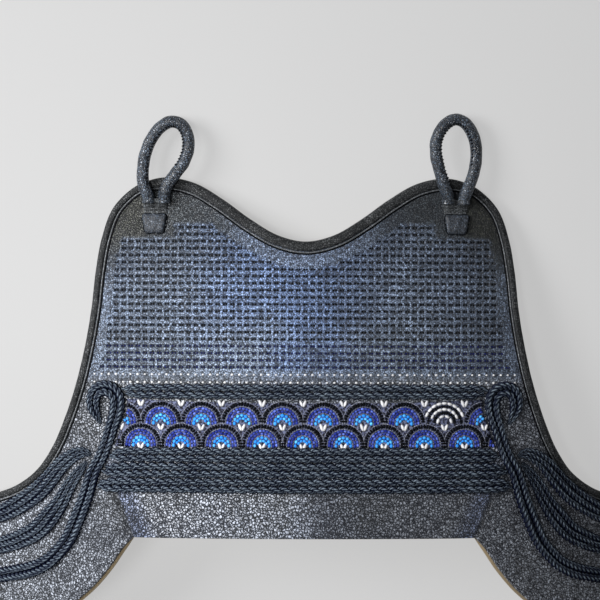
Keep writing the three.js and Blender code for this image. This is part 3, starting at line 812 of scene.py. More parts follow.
# The dark tube in the seam's corner is a painted shadow.
points, faces = swept(bound_line, seam_section)
seam_painted_shadow = add_object("seam_painted_shadow", make_mesh("seam_shadow_thread", points, faces))
print("binding:", len(leather_binding.data.polygons), "faces, its seam's thread:", len(faces))

# %% [markdown]
# ## Growing what repeats
#
# Stitches and cords repeat a simple shape along lines and rows. Geometry Nodes make such things from a small
# seed, a mesh of bare points or lines that carries the sizes as attributes. `grow` runs a tree on a seed and
# keeps the plain mesh that comes out.

# %% Running a geometry tree on a seed
def new_tree(name, inputs):
    """A geometry tree with named inputs: its recipe and its entry, whose outputs are the inputs."""
    tree = bpy.data.node_groups.new(name, "GeometryNodeTree")
    tree.interface.new_socket("Seed shape", in_out="INPUT", socket_type="NodeSocketGeometry")
    for label, kind in inputs.items():
        tree.interface.new_socket(label, in_out="INPUT", socket_type="NodeSocket" + kind)
    tree.interface.new_socket("Grown", in_out="OUTPUT", socket_type="NodeSocketGeometry")
    recipe = Recipe(tree)
    return recipe, recipe.node("NodeGroupInput")


def close_tree(recipe, grown, material):
    """Ends a tree: real faces, shaded smooth, with their material."""
    grown = recipe.node("GeometryNodeRealizeInstances", inputs={"Geometry": grown})
    grown = recipe.node("GeometryNodeSetShadeSmooth", inputs={"Geometry": grown})
    grown = recipe.node("GeometryNodeSetMaterial", inputs={"Geometry": grown, "Material": material})
    recipe.node("NodeGroupOutput", inputs={"Grown": grown})
    print(f"tree of {recipe.tree.name}: {len(recipe.tree.nodes)} nodes")
    return recipe.tree


def named(recipe, name, kind="FLOAT"):
    return recipe.node("GeometryNodeInputNamedAttribute", {"data_type": kind}, {"Name": name})


def stored(recipe, geometry, name, value, kind="FLOAT"):
    settings = {"data_type": kind, "domain": "POINT"}
    inputs = {"Geometry": geometry, "Name": name, "Value": value}
    return recipe.node("GeometryNodeStoreNamedAttribute", settings, inputs)


def scaled(recipe, vector, scale):
    return recipe.node("ShaderNodeVectorMath", {"operation": "SCALE"}, {0: vector, "Scale": scale})


def resampled(recipe, seed, step):
    """A seed's lines as curves, with points a step apart."""
    line = recipe.node("GeometryNodeMeshToCurve", inputs={"Mesh": seed})
    return recipe.node("GeometryNodeResampleCurve", {"mode": "LENGTH"}, {"Curve": line, "Length": step})


def circle_of(recipe, radius, corners):
    inputs = {"Resolution": corners, "Radius": radius}
    return recipe.node("GeometryNodeCurvePrimitiveCircle", {"mode": "RADIUS"}, inputs)


def tube_along(recipe, line, circle, fullness):
    inputs = {"Curve": line, "Profile Curve": circle, "Scale": fullness, "Fill Caps": True}
    return recipe.node("GeometryNodeCurveToMesh", inputs=inputs)


def grow(name, seed, tree, sizes):
    """The piece that a tree makes of a seed mesh, as a plain mesh."""
    sprout = add_object(name + "_seed", seed)
    modifier = sprout.modifiers.new("grow", "NODES")
    modifier.node_group = tree
    for item in tree.interface.items_tree:
        if item.in_out == "INPUT" and item.name in sizes:
            modifier[item.identifier] = sizes[item.name]
    evaluated = sprout.evaluated_get(bpy.context.evaluated_depsgraph_get())
    mesh = bpy.data.meshes.new_from_object(evaluated)
    bpy.data.objects.remove(sprout)
    mesh.name = name
    print(f"{name}: {len(mesh.polygons)} faces")
    return add_object(name, mesh)


# %% [markdown]
# ## Cotton thread
#
# Cords and stitches are cotton, dull and slightly hairy. Each ply of a cord shows the slant of its yarns, so
# the material turns a wave round the ply as it goes along it, from two attributes that the cords carry. The
# stitches carry a random shade of their own.

# %% Cotton
YARNS = 4  # the yarns that show round a ply
YARN_LAY = 2.6 * MM  # the length along a ply from one yarn to the next
THREAD_RELIEF = 0.28 * MM


def yarn_slant(recipe):
    """0 between the yarns of a ply and 1 on top of them."""
    around = recipe.parts(recipe.attribute("around", "Vector"))
    angle = recipe.node("ShaderNodeMath", {"operation": "ARCTAN2"}, {0: around.out("Y"), 1: around})
    turns = angle * YARNS + recipe.attribute("along") * (math.tau / YARN_LAY)
    return turns.wave() * 0.5 + 0.5


def cotton(name, dark, light, yarns=False, roughness=0.72):
    material, recipe, shader = new_material(name, Specular_IOR_Level=0.1)
    at = recipe.node("ShaderNodeTexCoord", out="Object")
    fuzz = recipe.noise(at, 1500.0, detail=2.0)
    fading = recipe.noise(at, 40.0, detail=3.0).between(0.3, 0.7)
    lay = yarn_slant(recipe) if yarns else recipe.attribute("shade")
    # Thread that turns away from the leather's outside, into the valleys between the plies and under the
    # stitches, is darkened in the colour: painted shade. The side facing out is a little brighter: painted
    # light.
    normal = recipe.node("ShaderNodeNewGeometry").out("Normal")
    painted_shade_factor = recipe.vector("DOT_PRODUCT", normal, recipe.attribute("facing", "Vector"), out=1)
    painted_shade_factor = painted_shade_factor.between(0.4, 1.0, 0.0, 1.25)
    uneven = recipe.noise(at, 450.0, detail=2.0).between(0.36, 0.62, 0.4, 1.1)
    tone = (lay * lay * 0.75 + fading * 0.15 + fuzz * 0.35 - 0.18) * painted_shade_factor * uneven
    color = recipe.blend(tone, dark, light)
    gloss = fuzz.between(0.2, 0.8, roughness - 0.12, roughness + 0.1)
    finish_surface(recipe, shader, color, gloss, lay * 0.6 + fuzz * 0.7, THREAD_RELIEF)
    return material


cord_cotton = cotton("navy_cotton_cord", (0.0005, 0.002, 0.013), (0.18, 0.225, 0.27), yarns=True)
dark_thread = cotton("dark_thread", (0.0005, 0.001, 0.002), (0.004, 0.006, 0.01))
indigo_thread = cotton("indigo_thread", (0.004, 0.006, 0.04), (0.015, 0.022, 0.13))
white_thread = cotton("white_thread", (0.6, 0.6, 0.62), (0.95, 0.95, 0.96))
seam_painted_shadow.data.materials.append(dark_thread)
print("threads:", [m.name for m in (cord_cotton, dark_thread, indigo_thread, white_thread)])

# %% [markdown]
# ## A stitch
#
# One stitch is a short, rounded length of thread. The tree puts a coarse ball on every seed point, stretches
# it to the size that the point carries, lays it along its heading and turns its top to the leather's outside.
# A small random factor keeps the stitches from looking printed.

# %% The stitch tree
def random_value(recipe, seed, low=0.0, high=1.0):
    """A random number for each point."""
    inputs = {2: low, 3: high, "Seed": seed}
    return recipe.node("FunctionNodeRandomValue", {"data_type": "FLOAT"}, inputs, out=1)


def stitch_tree():
    recipe, entry = new_tree("sewn stitches", {"Spread": "Float", "Seed": "Int", "Thread": "Material"})
    spread, seed = entry.out("Spread"), entry.out("Seed")
    axes = {
        "Primary Axis": named(recipe, "facing", "FLOAT_VECTOR"),
        "Secondary Axis": named(recipe, "heading", "FLOAT_VECTOR"),
    }
    settings = {"primary_axis": "Z", "secondary_axis": "X"}
    turn = recipe.node("FunctionNodeAxesToRotation", settings, axes)
    size = random_value(recipe, seed, 1 - spread, 1 + spread)
    size = scaled(recipe, named(recipe, "size", "FLOAT_VECTOR"), size)
    ball = recipe.node("GeometryNodeMeshUVSphere", inputs={"Segments": 8, "Rings": 4, "Radius": 0.5})
    marked = stored(recipe, entry, "shade", random_value(recipe, seed + 1))
    inputs = {"Points": marked, "Instance": ball, "Rotation": turn, "Scale": size}
    sewn = recipe.node("GeometryNodeInstanceOnPoints", inputs=inputs)
    return close_tree(recipe, sewn, entry.out("Thread"))


sewn_stitches = stitch_tree()


# %% Stitches from flat places
def stitches(name, places, thread, spread=0.12, seed=1):
    """Stitches at flat places. A place is (x, y, height, heading's angle, long, wide, high)."""
    x, y, height, angle, *size = np.array(places, float).T
    ahead = place(x + STEP * np.cos(angle), y + STEP * np.sin(angle), height)
    points = place(x, y, height)
    values = {"facing": facing(x, y), "heading": (ahead - points) / STEP, "size": np.stack(size, axis=1)}
    seed_mesh = make_mesh(name, points, [], values)
    return grow(name, seed_mesh, sewn_stitches, {"Spread": spread, "Seed": seed, "Thread": thread})


# %% [markdown]
# ## The quilting stitches
#
# Every stitch of the quilting shows as two short dashes of dark thread, sunk in the leather. The four rows
# next to the cords are sewn with indigo thread, and below them two rows of white dots run from edge to edge.

# %% The quilting
DASH = (1.7 * MM, 1.5 * MM, 0.6 * MM)
DASH_ASIDE = 1.05 * MM  # a dash's middle from the stitch's middle
DASH_SUNK = 0.05 * MM
INDIGO_ROWS = 4
WHITE_ROWS = (123.9 * MM, 130.1 * MM)
WHITE_REACH = 175 * MM
DOT = (2.1 * MM, 1.7 * MM, 1.3 * MM)
DOT_LIFT = 0.2 * MM
DOT_SLANT = 0.1
COLUMNS_ASIDE = 31  # more than fit on either side of the middle
columns = np.arange(-COLUMNS_ASIDE, COLUMNS_ASIDE + 1) * STITCH_GAP


def row_points(y):
    return np.column_stack([columns, np.full(len(columns), y)])


dark_places, indigo_places, white_places = [], [], []
for row in range(ROW_COUNT):
    y = ROW_LOW + row * ROW_GAP
    places = indigo_places if row < INDIGO_ROWS else dark_places
    for x in columns[is_quilted(row_points(y)) > 0]:
        for aside in (-DASH_ASIDE, DASH_ASIDE):
            places.append((x + aside, y, -DASH_SUNK, 0.0, *DASH))
for y in WHITE_ROWS:
    clear = distance_to(row_points(y), bound_line)[0] > SIDE_BINDING + 3 * MM
    reached = np.abs(columns) < WHITE_REACH
    white_places += [(x, y, DOT_LIFT, DOT_SLANT, *DOT) for x in columns[clear & reached]]
stitches("quilting_dark", dark_places, dark_thread)
stitches("quilting_indigo", indigo_places, indigo_thread)
stitches("quilting_white", white_places, white_thread, spread=0.2)

# %% [markdown]
# ## Twisted cords
#
# Each cord is two plies twisted together. A cord's middle line is the seed; the tree walks along it, moves a
# point round the line once for every turn of the twist, and sweeps a round ply through those points, once for
# each ply. The line carries the leather's outward direction, so that every cord turns the same way and none
# flips over where the panel bends, and a fullness that thins the cord where a bundle is pinched.

# %% The cord tree
PLIES = 2
PLY_CORNERS = 8
FLATTENED = 0.8  # the sewn-down cords are a little flatter than they are wide


def cord_tree():
    sockets = ("Ply radius", "Twist radius", "Turn", "Step")
    recipe, entry = new_tree("twisted cord", dict.fromkeys(sockets, "Float") | {"Thread": "Material"})
    line = resampled(recipe, entry, entry.out("Step"))
    out = named(recipe, "facing", "FLOAT_VECTOR")
    tangent = recipe.node("GeometryNodeInputTangent")
    side = recipe.vector("NORMALIZE", recipe.vector("CROSS_PRODUCT", tangent, out))
    along = recipe.node("GeometryNodeSplineParameter").out("Length")
    fullness = named(recipe, "fullness")
    line = stored(recipe, line, "along", along)
    circle = circle_of(recipe, entry.out("Ply radius"), PLY_CORNERS)
    circle = stored(recipe, circle, "around", recipe.node("GeometryNodeInputPosition"), "FLOAT_VECTOR")
    joined = recipe.node("GeometryNodeJoinGeometry")
    reach = entry.out("Twist radius") * fullness
    for ply in range(PLIES):
        turned = along / entry.out("Turn") * math.tau + named(recipe, "lead") + ply * math.tau / PLIES
        rise = scaled(recipe, out, turned.wave("COSINE") * reach * FLATTENED)
        sway = scaled(recipe, side, turned.wave("SINE") * reach)
        inputs = {"Geometry": line, "Offset": recipe.vector("ADD", rise, sway)}
        wound = recipe.node("GeometryNodeSetPosition", inputs=inputs)
        tube = tube_along(recipe, wound, circle, fullness)
        recipe.tree.links.new(tube.socket, joined.socket.node.inputs["Geometry"])
    return close_tree(recipe, joined, entry.out("Thread"))


twisted_cord = cord_tree()

# %% Cords from lines
CORD_WIDTH = 5.9 * MM
CORD_LIFT = 2.3 * MM  # a cord's middle line above the leather
CORD_SIZES = {"Ply radius": 1.66 * MM, "Twist radius": 1.6 * MM, "Step": 0.75 * MM, "Thread": cord_cotton}
BAND_TURN = 15.7 * MM  # a turn of the straight cords
WING_TURN = 8.6 * MM  # the wings' cords are twisted harder


def line_seed(name, lines):
    """A seed of open lines. A line is a dict of arrays: flat points, height, fullness, and its lead angle."""
    points, edges, values = [], [], {"facing": [], "fullness": [], "lead": []}
    for line in lines:
        first, count = sum(len(p) for p in points), len(line["flat"])
        points.append(place(*line["flat"].T, line["height"]))
        edges += [(first + i, first + i + 1) for i in range(count - 1)]
        values["facing"].append(facing(*line["flat"].T))
        values["fullness"].append(np.broadcast_to(line["fullness"], count))
        values["lead"].append(np.full(count, line.get("lead", 0.0)))
    mesh = make_mesh(name, np.vstack(points), [], {k: np.concatenate(v) for k, v in values.items()})
    mesh.edges.add(len(edges))
    mesh.edges.foreach_set("vertices", np.array(edges).ravel())
    return mesh


def twisted(name, lines, node, turn):
    """Twisted cords along lines, in the place of a CAD node."""
    piece = grow(name, line_seed(name, lines), twisted_cord, CORD_SIZES | {"Turn": turn})
    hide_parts(node)


# %% [markdown]
# ## Where the cords run
#
# The cords on a wing run in three bundles. The one next to the straight cords curls round at its top like a
# breaking wave and ends in a point. Each bundle's middle line goes through a few points of the flat pattern
# with its width beside them, and its cords share that width.

# %% The bundles' lines
CORD_FIELD = 122.5 * MM
LINE_GAP = 1 * MM  # between the points of a cord's line
CLOUD_BUNDLE = [  # out: as in the armhole's table, up: share of the cord field's height, share of the width
    (0.298, 0.738, 0.2), (0.313, 0.784, 0.55), (0.329, 0.842, 0.85), (0.33, 0.901, 0.95), (0.316, 0.95, 1.02),
    (0.284, 0.971, 1.07), (0.248, 0.957, 1.07), (0.225, 0.914, 1.06), (0.221, 0.856, 1.05), (0.228, 0.797, 1),
    (0.243, 0.731, 0.92), (0.268, 0.614, 0.88), (0.295, 0.516, 0.88), (0.327, 0.431, 0.93),
    (0.365, 0.255, 1.03), (0.408, 0.098, 1.07), (0.451, -0.033, 1.05), (0.502, -0.124, 1.03),
    (0.55, -0.189, 1.05), (0.619, -0.242, 1.1), (0.757, -0.294, 1.05), (1.05, -0.385, 0.95),
]
MIDDLE_BUNDLE = [
    (0.363, 0.486, 0.15), (0.391, 0.434, 0.42), (0.44, 0.333, 0.63), (0.486, 0.214, 0.77),
    (0.541, 0.107, 0.93), (0.601, 0.017, 0.92), (0.688, -0.052, 0.87), (0.757, -0.089, 0.82),
    (1.05, -0.18, 0.75),
]
OUTER_BUNDLE = [
    (0.345, 0.527, 0.15), (0.363, 0.545, 0.38), (0.391, 0.546, 0.56), (0.435, 0.517, 0.68),
    (0.481, 0.462, 0.77), (0.527, 0.387, 0.88), (0.573, 0.313, 0.95), (0.619, 0.253, 0.95),
    (0.684, 0.187, 0.91), (0.757, 0.13, 0.84), (1.05, 0, 0.74),
]
BUNDLES = {
    "cloud_cord": (CLOUD_BUNDLE, 2),
    "wing_cord_middle": (MIDDLE_BUNDLE, 3),
    "wing_cord_outer": (OUTER_BUNDLE, 3),
}


def bundle_line(table):
    """Flat points and the share of the width, close together."""
    rows = [wing_point(out, up * CORD_FIELD, share * MM) for out, up, share in table]
    line = smooth_line(rows, LINE_GAP)
    line[:, 2] /= MM
    return line


for name, (table, count) in BUNDLES.items():
    steps = np.linalg.norm(np.diff(bundle_line(table)[:, :2], axis=0), axis=1)
    print(f"{name}: {count} cords, middle line {steps.sum():.3f} long, past the wing's end")

# %% The bundles' cords
TUCK = 1 * MM  # how far a cord runs in under the binding
TUCK_START = 3.5 * MM  # from the binding, where a cord begins to sink
ROOT = 5 * MM  # the stretch at its tip where a cord rises out of the leather
WING_LEAD = 2.1  # the angle that each next cord's twist is ahead


def bundle_cords(table, count, flip):
    """The lines of a bundle's cords, which end under the binding."""
    line = bundle_line(table)
    beside = lefts(line)
    side = [-1, 1] if flip else [1, 1]
    lines = []
    for cord in range(count):
        off = (cord + 0.5 - count / 2) * CORD_WIDTH * line[:, 2]
        flat = line[:, :2] + beside * off[:, None]
        in_view = is_inside(flat, outline(SIDE_BINDING - TUCK))
        last = len(flat) if in_view.all() else int(np.argmin(in_view))
        flat, share = flat[:last], line[:last, 2]
        away = distance_to(flat, bound_line)[0]
        tucked = smooth_step(SIDE_BINDING + TUCK_START, SIDE_BINDING - TUCK, away)
        rooted = smooth_step(ROOT, 0, np.arange(last) * LINE_GAP)
        height = CORD_LIFT * (0.35 + 0.65 * share) * (1 - 0.95 * tucked) * (1 - 0.6 * rooted)
        fullness = share * (1 - 0.3 * tucked)
        lines.append({"flat": flat * side, "height": height, "fullness": fullness, "lead": cord * WING_LEAD})
    return lines


for name, (table, count) in BUNDLES.items():
    for hand, flip in (("right", False), ("left", True)):
        twisted(f"twisted_{name}_{hand}", bundle_cords(table, count, flip), f"{name}_{hand}", WING_TURN)

# %% [markdown]
# ## The straight cords
#
# Two cords cross above the wave band and three pairs below it. Their ends stop along the cloud cord, and each
# pair is pinched together there.

# %% Where the straight cords end
FALLING = -0.2 * MM  # the cloud cord's line drops faster than this from point to point, below its curl
cloud_line = bundle_line(CLOUD_BUNDLE)
inner = cloud_line[:, :2] - lefts(cloud_line) * (CORD_WIDTH * cloud_line[:, 2:] + 4 * CLEARANCE)
inner_side = inner[np.gradient(cloud_line[:, 1]) < FALLING][::-1]


def band_end(y):
    """Where the straight cords have to end at a level."""
    return np.interp(y, inner_side[:, 1], inner_side[:, 0])


print("the straight cords end", round(float(band_end(0.5 * CORD_FIELD)), 4), "from the middle, halfway up")

# %% The straight cords
BAND_HEIGHT = 2 * CORD_WIDTH
BARE_HEM = 36 * MM
BAND_LEVELS = [BARE_HEM + row * (BAND_HEIGHT + CLEARANCE) for row in range(3)]
WAVE_LOW = BAND_LEVELS[-1] + BAND_HEIGHT + CLEARANCE
WAVE_HIGH = CORD_FIELD - BAND_HEIGHT - CLEARANCE
PINCH = 9 * MM
BAND_GAP = 1.5 * MM  # between the points of a straight cord's line
BAND_LEAD = 2.4
LEVEL_LEAD = 1.3  # so that no two bands twist in step


def band_cords(low, lead):
    lines = []
    for cord in range(2):
        middle = low + BAND_HEIGHT / 2
        off = (cord - 0.5) * CORD_WIDTH
        reach = float(band_end(middle + off))
        x = np.linspace(-reach, reach, round(2 * reach / BAND_GAP))
        pinched = smooth_step(PINCH, 0, reach - np.abs(x))
        flat = np.column_stack([x, middle + off * (1 - 0.5 * pinched)])
        height, fullness = CORD_LIFT * (1 - 0.35 * pinched), 1 - 0.4 * pinched
        lines.append({"flat": flat, "height": height, "fullness": fullness, "lead": lead + cord * BAND_LEAD})
    return lines


twisted("twisted_upper_band", band_cords(CORD_FIELD - BAND_HEIGHT, 0.0), "upper_cord_band", BAND_TURN)
for i, low in enumerate(BAND_LEVELS, 1):
    twisted(f"twisted_lower_band_{i}", band_cords(low, LEVEL_LEAD * i), f"lower_cord_band_{i}", BAND_TURN)

# %% [markdown]
# ## The wave band
#
# Between the straight cords lies a band of embroidered wave scales, an old pattern of overlapping half rings.
# Each scale is sewn from the middle out: a white pair of stitches, two rings of sky-blue blocks, two of
# indigo ones between thin couched threads, and a raised black rim. One scale is sewn in white instead. The
# lower row lies over the upper one, so a stitch is left out where a scale of the next row down covers it.

# %% The ground of the band
SATIN_LAY = 0.7 * MM  # from one thread of the satin to the next
GROUND_LOW = 0.2 * MM
GROUND_TOP = 0.9 * MM
GROUND_CELL = 4 * MM


def satin_ground(name):
    material, recipe, shader = new_material(name, Specular_IOR_Level=0.2)
    at = recipe.node("ShaderNodeTexCoord", out="Object")
    across = recipe.parts(recipe.attribute("flat", "Vector"))
    threads = (across * (math.tau / SATIN_LAY)).wave() * 0.5 + 0.5
    fuzz = recipe.noise(at, 600.0, detail=2.0)
    color = recipe.blend(fuzz.between(0.4, 0.65), (0.002, 0.002, 0.008), (0.15, 0.17, 0.28))
    gloss = fuzz.between(0.2, 0.8, 0.5, 0.8)
    finish_surface(recipe, shader, color, gloss, threads * 0.5 + fuzz, 0.25 * MM)
    return material


wave_side = inner_side[(inner_side[:, 1] > WAVE_LOW) & (inner_side[:, 1] < WAVE_HIGH)]
right_side = [(band_end(WAVE_LOW), WAVE_LOW), *wave_side[::4], (band_end(WAVE_HIGH), WAVE_HIGH)]
band_outline = np.vstack([right_side, mirrored(right_side)])
mesh = bent_sheet("wave_ground", band_outline, GROUND_LOW, GROUND_TOP, GROUND_CELL)
wave_ground = add_object("wave_ground", mesh, satin_ground("satin_ground"))
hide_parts("wave_band")

# %% The scales' sizes
WAVE_PITCH = 32.2 * MM
WAVE_SHIFT = 1.7 * MM
WAVE_LEVELS = (74.4 * MM, 92.0 * MM, 109.6 * MM)  # the middles of the rows; only the white of the third shows
FULL_ROWS = 2
PLACES = range(-6, 7)  # a row's scales, counted from the middle
SCALE_REACH = 16.9 * MM  # the outside of the rim
SCALE_ROOM = 0.4 * MM
BAND_ROOM = (0.6 * MM, 0.5 * MM)  # bare ground at the band's ends, and along its long edges
ACCENT = (1, 3)  # the row and the place of the one scale that is sewn in white
RINGS = {  # radius, blocks in the ring, length along it, width across it, height, first and last angle
    "sky": [(3.5, 4, 2.9, 2.4, 1.7, 25, 155), (5.9, 7, 3.3, 2.7, 1.8, -5, 185)],
    "indigo": [(9.0, 11, 3.1, 2.4, 1.5, -4, 184), (11.3, 14, 3.1, 2.4, 1.5, 0, 180)],
    "couching": [
        (7.5, 13, 2.0, 0.7, 1.2, -6, 186), (12.8, 22, 2.2, 0.7, 1.3, -4, 184),
        (16.9, 30, 2.2, 0.7, 1.1, 0, 180),
    ],
    "rim": [(14.9, 25, 2.1, 3.4, 2.6, -12, 192)],
}
ACCENT_RINGS = {  # the one scale that is sewn in white, with dark thread between its rings
    "white": [
        (5.5, 4, 5.0, 2.5, 2.2, 18, 162), (10.9, 7, 4.7, 2.5, 2.2, 28, 152),
        (15.7, 9, 5.2, 2.5, 2.6, 26, 154),
    ],
    "rim": [(8.2, 15, 2.0, 2.5, 1.6, 5, 175), (13.3, 23, 2.0, 2.3, 1.8, 0, 180)],
}
HEART = (6.4 * MM, 2.6 * MM, 2.4 * MM)  # one of the two white stitches in a scale's middle
HEART_DROP = (-1.2 * MM, -3.6 * MM, -2.2 * MM)
HEART_ASIDE = 1.3 * MM
HEART_SLANT = 0.4

sky_thread = cotton("sky_thread", (0.02, 0.24, 0.8), (0.17, 0.68, 0.97))
violet_thread = cotton("violet_thread", (0.01, 0.02, 0.2), (0.17, 0.25, 0.8))
couching_thread = cotton("couching_thread", (0.12, 0.13, 0.17), (0.52, 0.54, 0.64))
print("wave threads:", [m.name for m in (sky_thread, violet_thread, couching_thread)])


# %% Which stitches show
def scale_centre(row, place_in_row):
    return (place_in_row + (row % 2) / 2) * WAVE_PITCH - WAVE_SHIFT, WAVE_LEVELS[row]


def shows(x, y, row):
    """Whether a stitch of a row shows: inside the band, and not under a scale of the next row down."""
    at_end, along_edge = BAND_ROOM
    if not WAVE_LOW + along_edge < y < WAVE_HIGH - along_edge or abs(x) > band_end(y) - at_end:
        return False
    below = [scale_centre(row - 1, i) for i in PLACES] if row else []
    return all(math.hypot(x - bx, y - by) > SCALE_REACH + SCALE_ROOM for bx, by in below)


def ring_places(row, centre, rings):
    places = []
    for radius, count, *size, first, last in rings:
        for angle in np.radians(np.linspace(first, last, count)):
            x, y = centre[0] + radius * MM * math.cos(angle), centre[1] + radius * MM * math.sin(angle)
            if shows(x, y, row):
                places.append((x, y, GROUND_TOP, angle + math.pi / 2, *(v * MM for v in size)))
    return places


def heart_places(row, centre):
    places = []
    for hand in (-1, 1):
        x, y = centre[0] + hand * HEART_ASIDE, centre[1] + HEART_DROP[row]
        if shows(x, y, row):
            places.append((x, y, GROUND_TOP, math.pi / 2 - hand * HEART_SLANT, *HEART))
    return places


# %% The scales
wave_threads = {
    "sky": sky_thread, "indigo": violet_thread, "couching": couching_thread, "rim": dark_thread,
    "white": white_thread,
}
sewn = {label: [] for label in wave_threads}
for row in range(len(WAVE_LEVELS)):
    for place_in_row in PLACES:
        centre = scale_centre(row, place_in_row)
        whole = ACCENT_RINGS if (row, place_in_row) == ACCENT else RINGS
        for label, rings in (whole if row < FULL_ROWS else {}).items():
            sewn[label] += ring_places(row, centre, rings)
        sewn["white"] += heart_places(row, centre)
for i, (label, thread) in enumerate(wave_threads.items()):
    stitches(f"wave_stitches_{label}", sewn[label], thread, spread=0.1, seed=3 + i)

# %% [markdown]
# ## The loops
#
# A loop is a strip of leather rolled into a tube and whipped together along its inside. Its two ends go down
# side by side under a leather tongue, and a padded keeper holds the tongue. A tube along a line would look
# like plastic, so the tree pushes its skin in and out by a little noise.

# %% The loops' routes
LOOP_RADIUS = 4.8 * MM
LOOP_LENGTH = 61 * MM
LOOP_X = 118.5 * MM
LOOP_LIFT = 9 * MM
LOOP_FOOT = SHOULDER_HEIGHT - 15.5 * MM
LOOP_HIDDEN = -0.09  # how far the ends run on under the tongue
RIGHT_LOOP = [  # side and along: shares of the loop's length, from the middle of its foot
    (-0.105, 0), (-0.15, 0.12), (-0.225, 0.34), (-0.28, 0.56), (-0.275, 0.75), (-0.175, 0.93), (-0.045, 1),
    (0.08, 0.955), (0.185, 0.82), (0.24, 0.63), (0.24, 0.43), (0.195, 0.23), (0.11, 0),
]
LEFT_LOOP = [
    (-0.1, 0), (-0.155, 0.16), (-0.155, 0.36), (-0.115, 0.56), (-0.02, 0.76), (0.1, 0.895), (0.235, 0.955),
    (0.36, 0.91), (0.43, 0.775), (0.435, 0.605), (0.375, 0.435), (0.255, 0.275), (0.15, 0.135), (0.11, 0),
]


def loop_route(table, middle):
    """A loop's flat points and heights: it climbs over the binding and springs up a little."""
    ends = [(table[0][0], LOOP_HIDDEN), *table, (table[-1][0], LOOP_HIDDEN)]
    flat = smooth_line(ends, LINE_GAP / LOOP_LENGTH) * LOOP_LENGTH + [middle, LOOP_FOOT]
    edge = SHOULDER_HEIGHT - NECK_BINDING
    climb = smooth_step(edge - 2 * LOOP_RADIUS, edge - CLEARANCE, flat[:, 1])
    along = np.maximum(0, (flat[:, 1] - LOOP_FOOT) / LOOP_LENGTH)
    height = CLEARANCE + climb * (BINDING_TOP + BINDING_CROWN) + LOOP_RADIUS + LOOP_LIFT * along**1.5
    return flat, height


# %% The loop tree
LOOP_CORNERS = 24
LOOP_SIZES = {"Radius": LOOP_RADIUS, "Step": 1 * MM, "Unevenness": 1.1 * MM, "Leather": loop_leather}


def loop_tree():
    sockets = ("Radius", "Step", "Unevenness")
    recipe, entry = new_tree("rolled leather", dict.fromkeys(sockets, "Float") | {"Leather": "Material"})
    line = resampled(recipe, entry, entry.out("Step"))
    circle = circle_of(recipe, entry.out("Radius"), LOOP_CORNERS)
    tube = tube_along(recipe, line, circle, named(recipe, "fullness"))
    dents = recipe.noise(recipe.node("GeometryNodeInputPosition"), 120.0, detail=2.0) - 0.5
    push = scaled(recipe, recipe.node("GeometryNodeInputNormal"), dents * entry.out("Unevenness"))
    skin = recipe.node("GeometryNodeSetPosition", inputs={"Geometry": tube, "Offset": push})
    return close_tree(recipe, skin, entry.out("Leather"))


rolled_leather = loop_tree()

# %% The loops and their whipping
WHIP = (3.0 * MM, 1.3 * MM, 1.2 * MM)
WHIP_POINTS = (14, -30, 3)  # first, last and step, in points of the loop's line
WHIP_SLANT = 0.3


def whipping(flat, height):
    """Whip stitches along the inside of a loop."""
    middle = flat[len(flat) // 4 : 3 * len(flat) // 4].mean(axis=0)
    beside = lefts(flat)
    inward = np.sign(np.sum((middle - flat) * beside, axis=1))
    first, last, step = WHIP_POINTS
    places = []
    for i in range(first, len(flat) + last, step):
        x, y = flat[i] + beside[i] * inward[i] * 0.72 * LOOP_RADIUS
        across = math.atan2(beside[i][1], beside[i][0]) + WHIP_SLANT
        places.append((x, y, height[i] + 0.68 * LOOP_RADIUS, across, *WHIP))
    return places


whip_places = []
for hand, table, middle in (("right", RIGHT_LOOP, LOOP_X), ("left", LEFT_LOOP, -LOOP_X)):
    name = f"rolled_loop_{hand}"
    flat, height = loop_route(table, middle)
    seed = line_seed(name, [{"flat": flat, "height": height, "fullness": 1.0}])
    loop = grow(name, seed, rolled_leather, LOOP_SIZES)
    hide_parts(f"loop_{hand}")
    whip_places += whipping(flat, height)
stitches("loop_whipping", whip_places, dark_thread, seed=9)

# %% [markdown]
# ## Tongues and keepers
#
# The tongue is the leather that the loop's ends run under: two humps at its upper lip, flat at its lower end,
# and creased across where it is drawn down. The keeper is a small stuffed pad. Both are height fields over a
# patch of the panel, with a closed underside. A ball or a box would show its own shape at the rim; a height
# field can fall off softly to the leather all round.

# %% Raised patches
PATCH_CELLS = (36, 30)
PATCH_BOTTOM = 0.1 * MM


def dome(value, power):
    """1 in the middle of -1 to 1, and round off to 0 at both ends."""
    return np.clip(1 - np.abs(value) ** power, 0, 1) ** 0.5


def raised_patch(name, middle, top, length, half_width, rise, material):
    """A closed patch on the panel. rise(u, v) gives its height, u from -1 to 1 across and v from 0 at its
    upper edge to 1 at its lower one; half_width(v) gives half its width."""
    wide, high = PATCH_CELLS[0] + 1, PATCH_CELLS[1] + 1
    u, v = (grid.ravel() for grid in np.meshgrid(np.linspace(-1, 1, wide), np.linspace(0, 1, high)))
    x, y = middle + u * half_width(v), top - v * length
    points = np.vstack([place(x, y, CLEARANCE + rise(u, v)), place(x, y, PATCH_BOTTOM)])
    count = wide * high
    faces = [[i, i + wide, i + wide + 1, i + 1] for i in range(count - wide) if (i + 1) % wide]
    mesh = make_mesh(name, points, faces + closing_faces(faces, rim_of(faces), count))
    return add_object(name, mesh, material)


